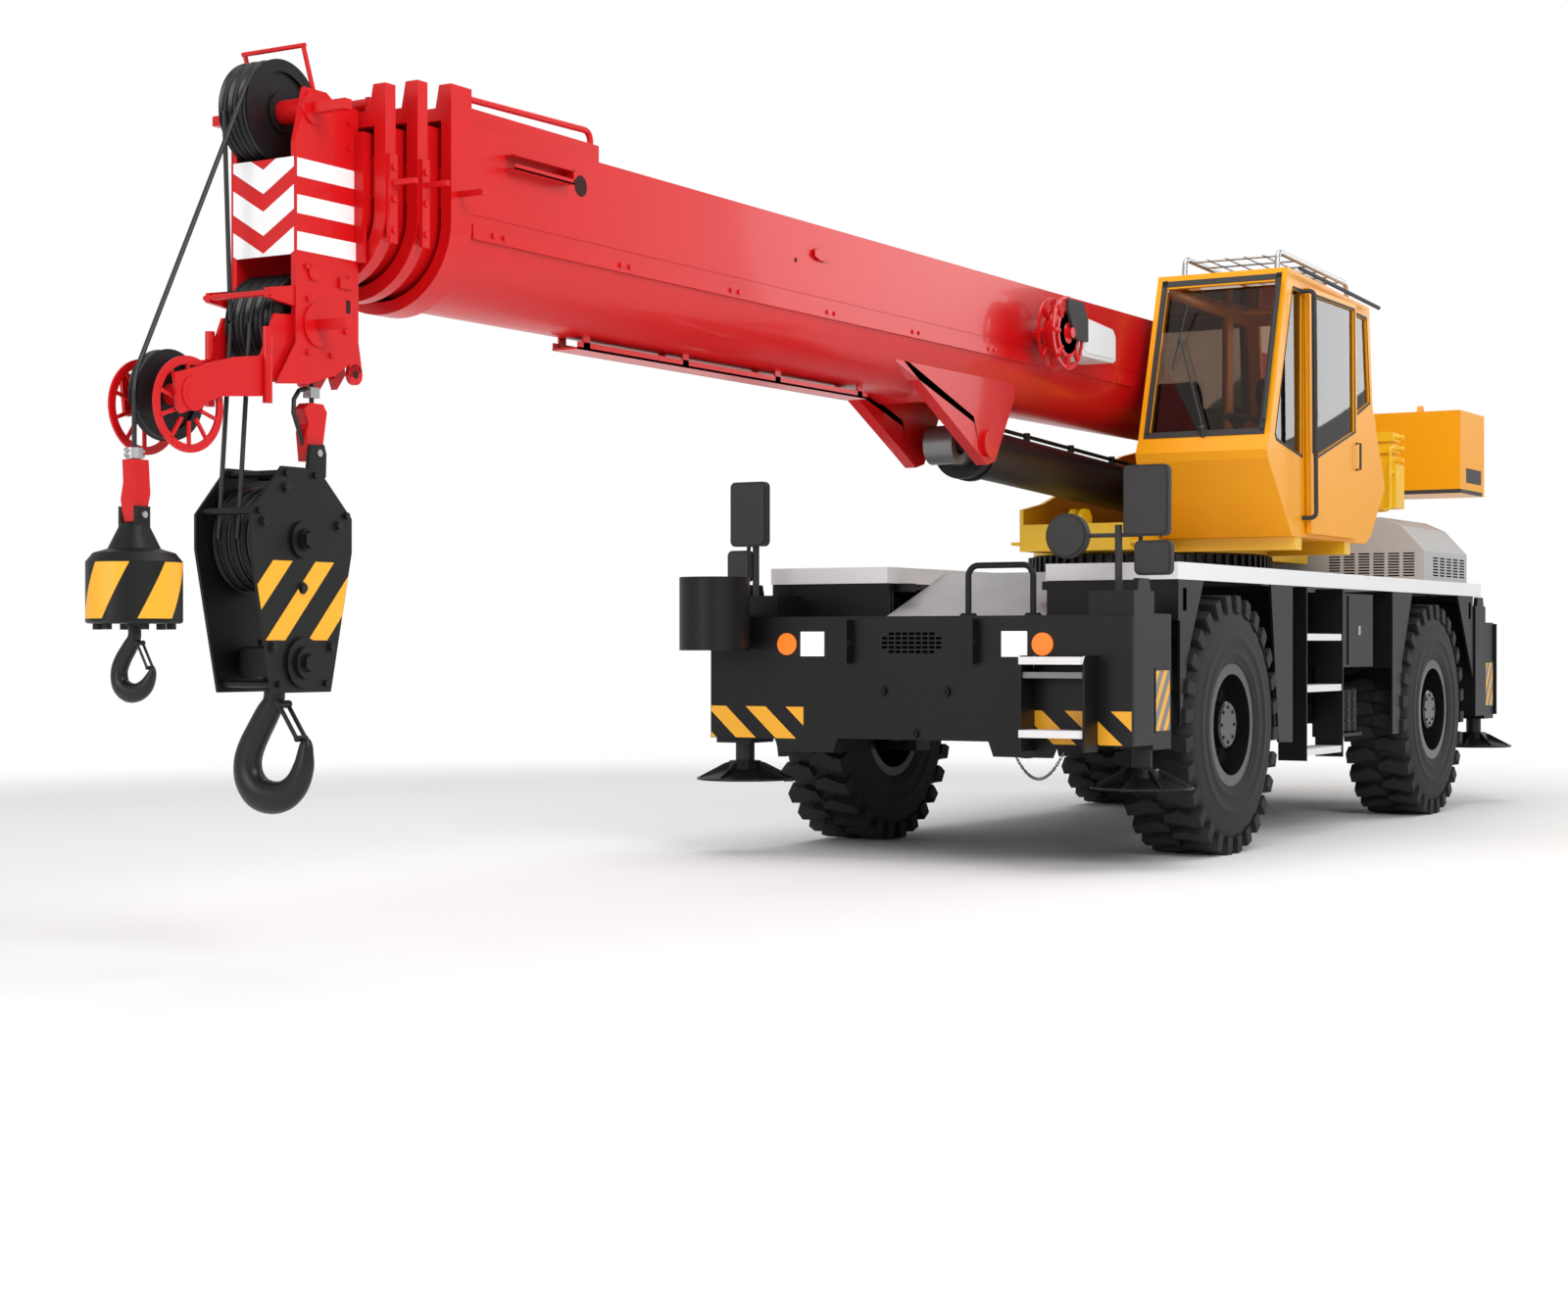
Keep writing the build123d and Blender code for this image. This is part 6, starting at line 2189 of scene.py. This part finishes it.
class Studio:
    """Camera, light, floor and backdrop."""

    CAMERA_AT = (12.848, 6.480, 1.2123)
    YAW = math.radians(30.7675)
    PITCH = -0.0021
    LENS = 57.657
    SENSOR = 36.0
    CLIP_END = 400.0
    FLOOR_HALF = 120.0
    FADE = (7.5, 13.0)
    WHITE = (1.0, 1.0, 1.0, 1.0)
    WORLD_LIGHT = 0.5

    def build(self) -> None:
        """Sets the whole stage."""
        self._camera()
        self._lights()
        self._floor()
        self._backdrop()

    def _camera(self) -> None:
        """Places the camera at the photograph's view."""
        data = bpy.data.cameras.new("photo_camera")
        data.lens, data.sensor_width = self.LENS, self.SENSOR
        data.clip_end = self.CLIP_END
        camera = bpy.data.objects.new("photo_camera", data)
        bpy.context.scene.collection.objects.link(camera)
        level = math.cos(self.PITCH)
        aim = Vector((-math.cos(self.YAW) * level, -math.sin(self.YAW) * level, math.sin(self.PITCH)))
        camera.location = self.CAMERA_AT
        camera.rotation_euler = aim.to_track_quat("-Z", "Y").to_euler()
        bpy.context.scene.camera = camera

    def _lights(self) -> None:
        """Adds soft lamps above, in front, at the side and behind."""
        # name, place, aim, size, watts
        table = (
            ("key", (9.0, 10.0, 9.0), (0.0, 0.0, 1.5), 7.0, 900.0),
            ("front", (16.0, -3.0, 5.0), (0.0, 0.0, 1.5), 7.0, 420.0),
            ("top", (0.0, 0.0, 12.0), (0.0, 0.0, 0.0), 12.0, 800.0),
            ("rear", (-12.0, 6.0, 6.0), (0.0, 0.0, 1.5), 6.0, 250.0),
        )
        for name, place, aim, size, watts in table:
            data = bpy.data.lights.new(name, "AREA")
            data.shape, data.size, data.energy = "DISK", size, watts
            lamp = bpy.data.objects.new(name, data)
            bpy.context.scene.collection.objects.link(lamp)
            lamp.location = place
            lamp.rotation_euler = (Vector(aim) - Vector(place)).to_track_quat("-Z", "Y").to_euler()

    def _floor(self) -> None:
        """Lays a plain pale floor."""
        mesh = bpy.data.meshes.new("floor")
        size = self.FLOOR_HALF
        corners = [(-size, -size, 0), (size, -size, 0), (size, size, 0), (-size, size, 0)]
        mesh.from_pydata(corners, [], [(0, 1, 2, 3)])
        floor = bpy.data.objects.new("floor", mesh)
        bpy.context.scene.collection.objects.link(floor)
        mesh.materials.append(self._floor_material())

    def _floor_material(self) -> bpy.types.Material:
        """Makes a matt white that fades into the backdrop far from the crane.

        Returns:
            The material.
        """
        material = bpy.data.materials.new("floor_white")
        material.use_nodes = True
        nodes, links = material.node_tree.nodes, material.node_tree.links
        shader = nodes["Principled BSDF"]
        shader.inputs["Base Color"].default_value = (0.93, 0.93, 0.93, 1.0)
        shader.inputs["Roughness"].default_value = 0.6
        shader.inputs["Specular IOR Level"].default_value = 0.1
        place, reach = nodes.new("ShaderNodeTexCoord"), nodes.new("ShaderNodeVectorMath")
        reach.operation = "LENGTH"
        fade = nodes.new("ShaderNodeMapRange")
        fade.interpolation_type = "SMOOTHSTEP"
        fade.inputs["From Min"].default_value, fade.inputs["From Max"].default_value = self.FADE
        far, mix = nodes.new("ShaderNodeEmission"), nodes.new("ShaderNodeMixShader")
        far.inputs["Color"].default_value = self.WHITE
        links.new(place.outputs["Object"], reach.inputs[0])
        links.new(reach.outputs["Value"], fade.inputs["Value"])
        links.new(fade.outputs["Result"], mix.inputs[0])
        links.new(shader.outputs[0], mix.inputs[1])
        links.new(far.outputs[0], mix.inputs[2])
        links.new(mix.outputs[0], nodes["Material Output"].inputs["Surface"])
        return material

    def _backdrop(self) -> None:
        """Shows the camera a white backdrop and lights the crane with a softer one."""
        world = bpy.data.worlds.new("backdrop")
        bpy.context.scene.world = world
        world.use_nodes = True
        nodes, links = world.node_tree.nodes, world.node_tree.links
        nodes.clear()
        out = nodes.new("ShaderNodeOutputWorld")
        seen, lit = nodes.new("ShaderNodeBackground"), nodes.new("ShaderNodeBackground")
        for background, strength in ((seen, 1.0), (lit, self.WORLD_LIGHT)):
            background.inputs["Color"].default_value = self.WHITE
            background.inputs["Strength"].default_value = strength
        path = nodes.new("ShaderNodeLightPath")
        mix = nodes.new("ShaderNodeMixShader")
        links.new(path.outputs["Is Camera Ray"], mix.inputs[0])
        links.new(lit.outputs[0], mix.inputs[1])
        links.new(seen.outputs[0], mix.inputs[2])
        links.new(mix.outputs[0], out.inputs["Surface"])


def crane_parts() -> list:
    """Lists everything that dresses the crane, in building order.

    Returns:
        Objects with a build method.
    """
    main_stem = ((0.042, 1.08, 1.225), (0.06, 1.204, 1.228))
    aux_stem = ((0.03, 1.275, 1.371),)
    main_latch, aux_latch = ((0.046, 0.985), (0.135, 0.858)), ((0.026, 1.215), (0.075, 1.128))
    parts = [
        BumperStripes(),
        HeadStripes(),
        BlockStripes(),
        WeightStripes(),
        Reflectors(),
        Bolts(),
        Ropes(),
        CabTrim(),
        DeckTrim(),
        HeadDetail(),
        AuxArm(),
        AuxWeight(),
        BlockDetail(),
        BoomDetail(),
        ReelSet(),
        LuffDetail(),
        RingTeeth(),
        TableDetail(),
        CabRails(),
        RoundedMirrors(),
        CarrierDetail(),
        HoodDetail(),
        SeatPads(),
        Hook("main_hook", "main_hook", at(BLOCK_X), MAIN_HOOK, main_stem, 0.8, main_latch),
        Hook("aux_hook", "aux_hook", at(WEIGHT_X), AUX_HOOK, aux_stem, 0.85, aux_latch),
        Chain("bumper_chain", (at(3.44), 0.62, 0.6), (at(3.44), 0.9, 0.63), 0.13),
    ]
    for axle, x in zip("fr", AXLE_X):
        for letter, side in (("l", 1.0), ("r", -1.0)):
            parts.append(Tyre("tyre_" + axle + letter, "wheel_" + axle + letter, x, side))
    return parts


def main() -> None:
    """Builds the whole scene in order."""
    logging.basicConfig(level=logging.INFO, format="%(name)s %(message)s")
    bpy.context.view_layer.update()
    shop = Workshop(EffectLibrary(), Repeater())
    shop.finish_frame()
    for part in crane_parts():
        part.build(shop)
        log.info("%s done", type(part).__name__)
    Studio().build()
    bpy.context.scene.view_settings.view_transform = "Standard"
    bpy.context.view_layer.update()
    log.info("%d pieces", len(shop.made))


if __name__ == "__main__":
    main()
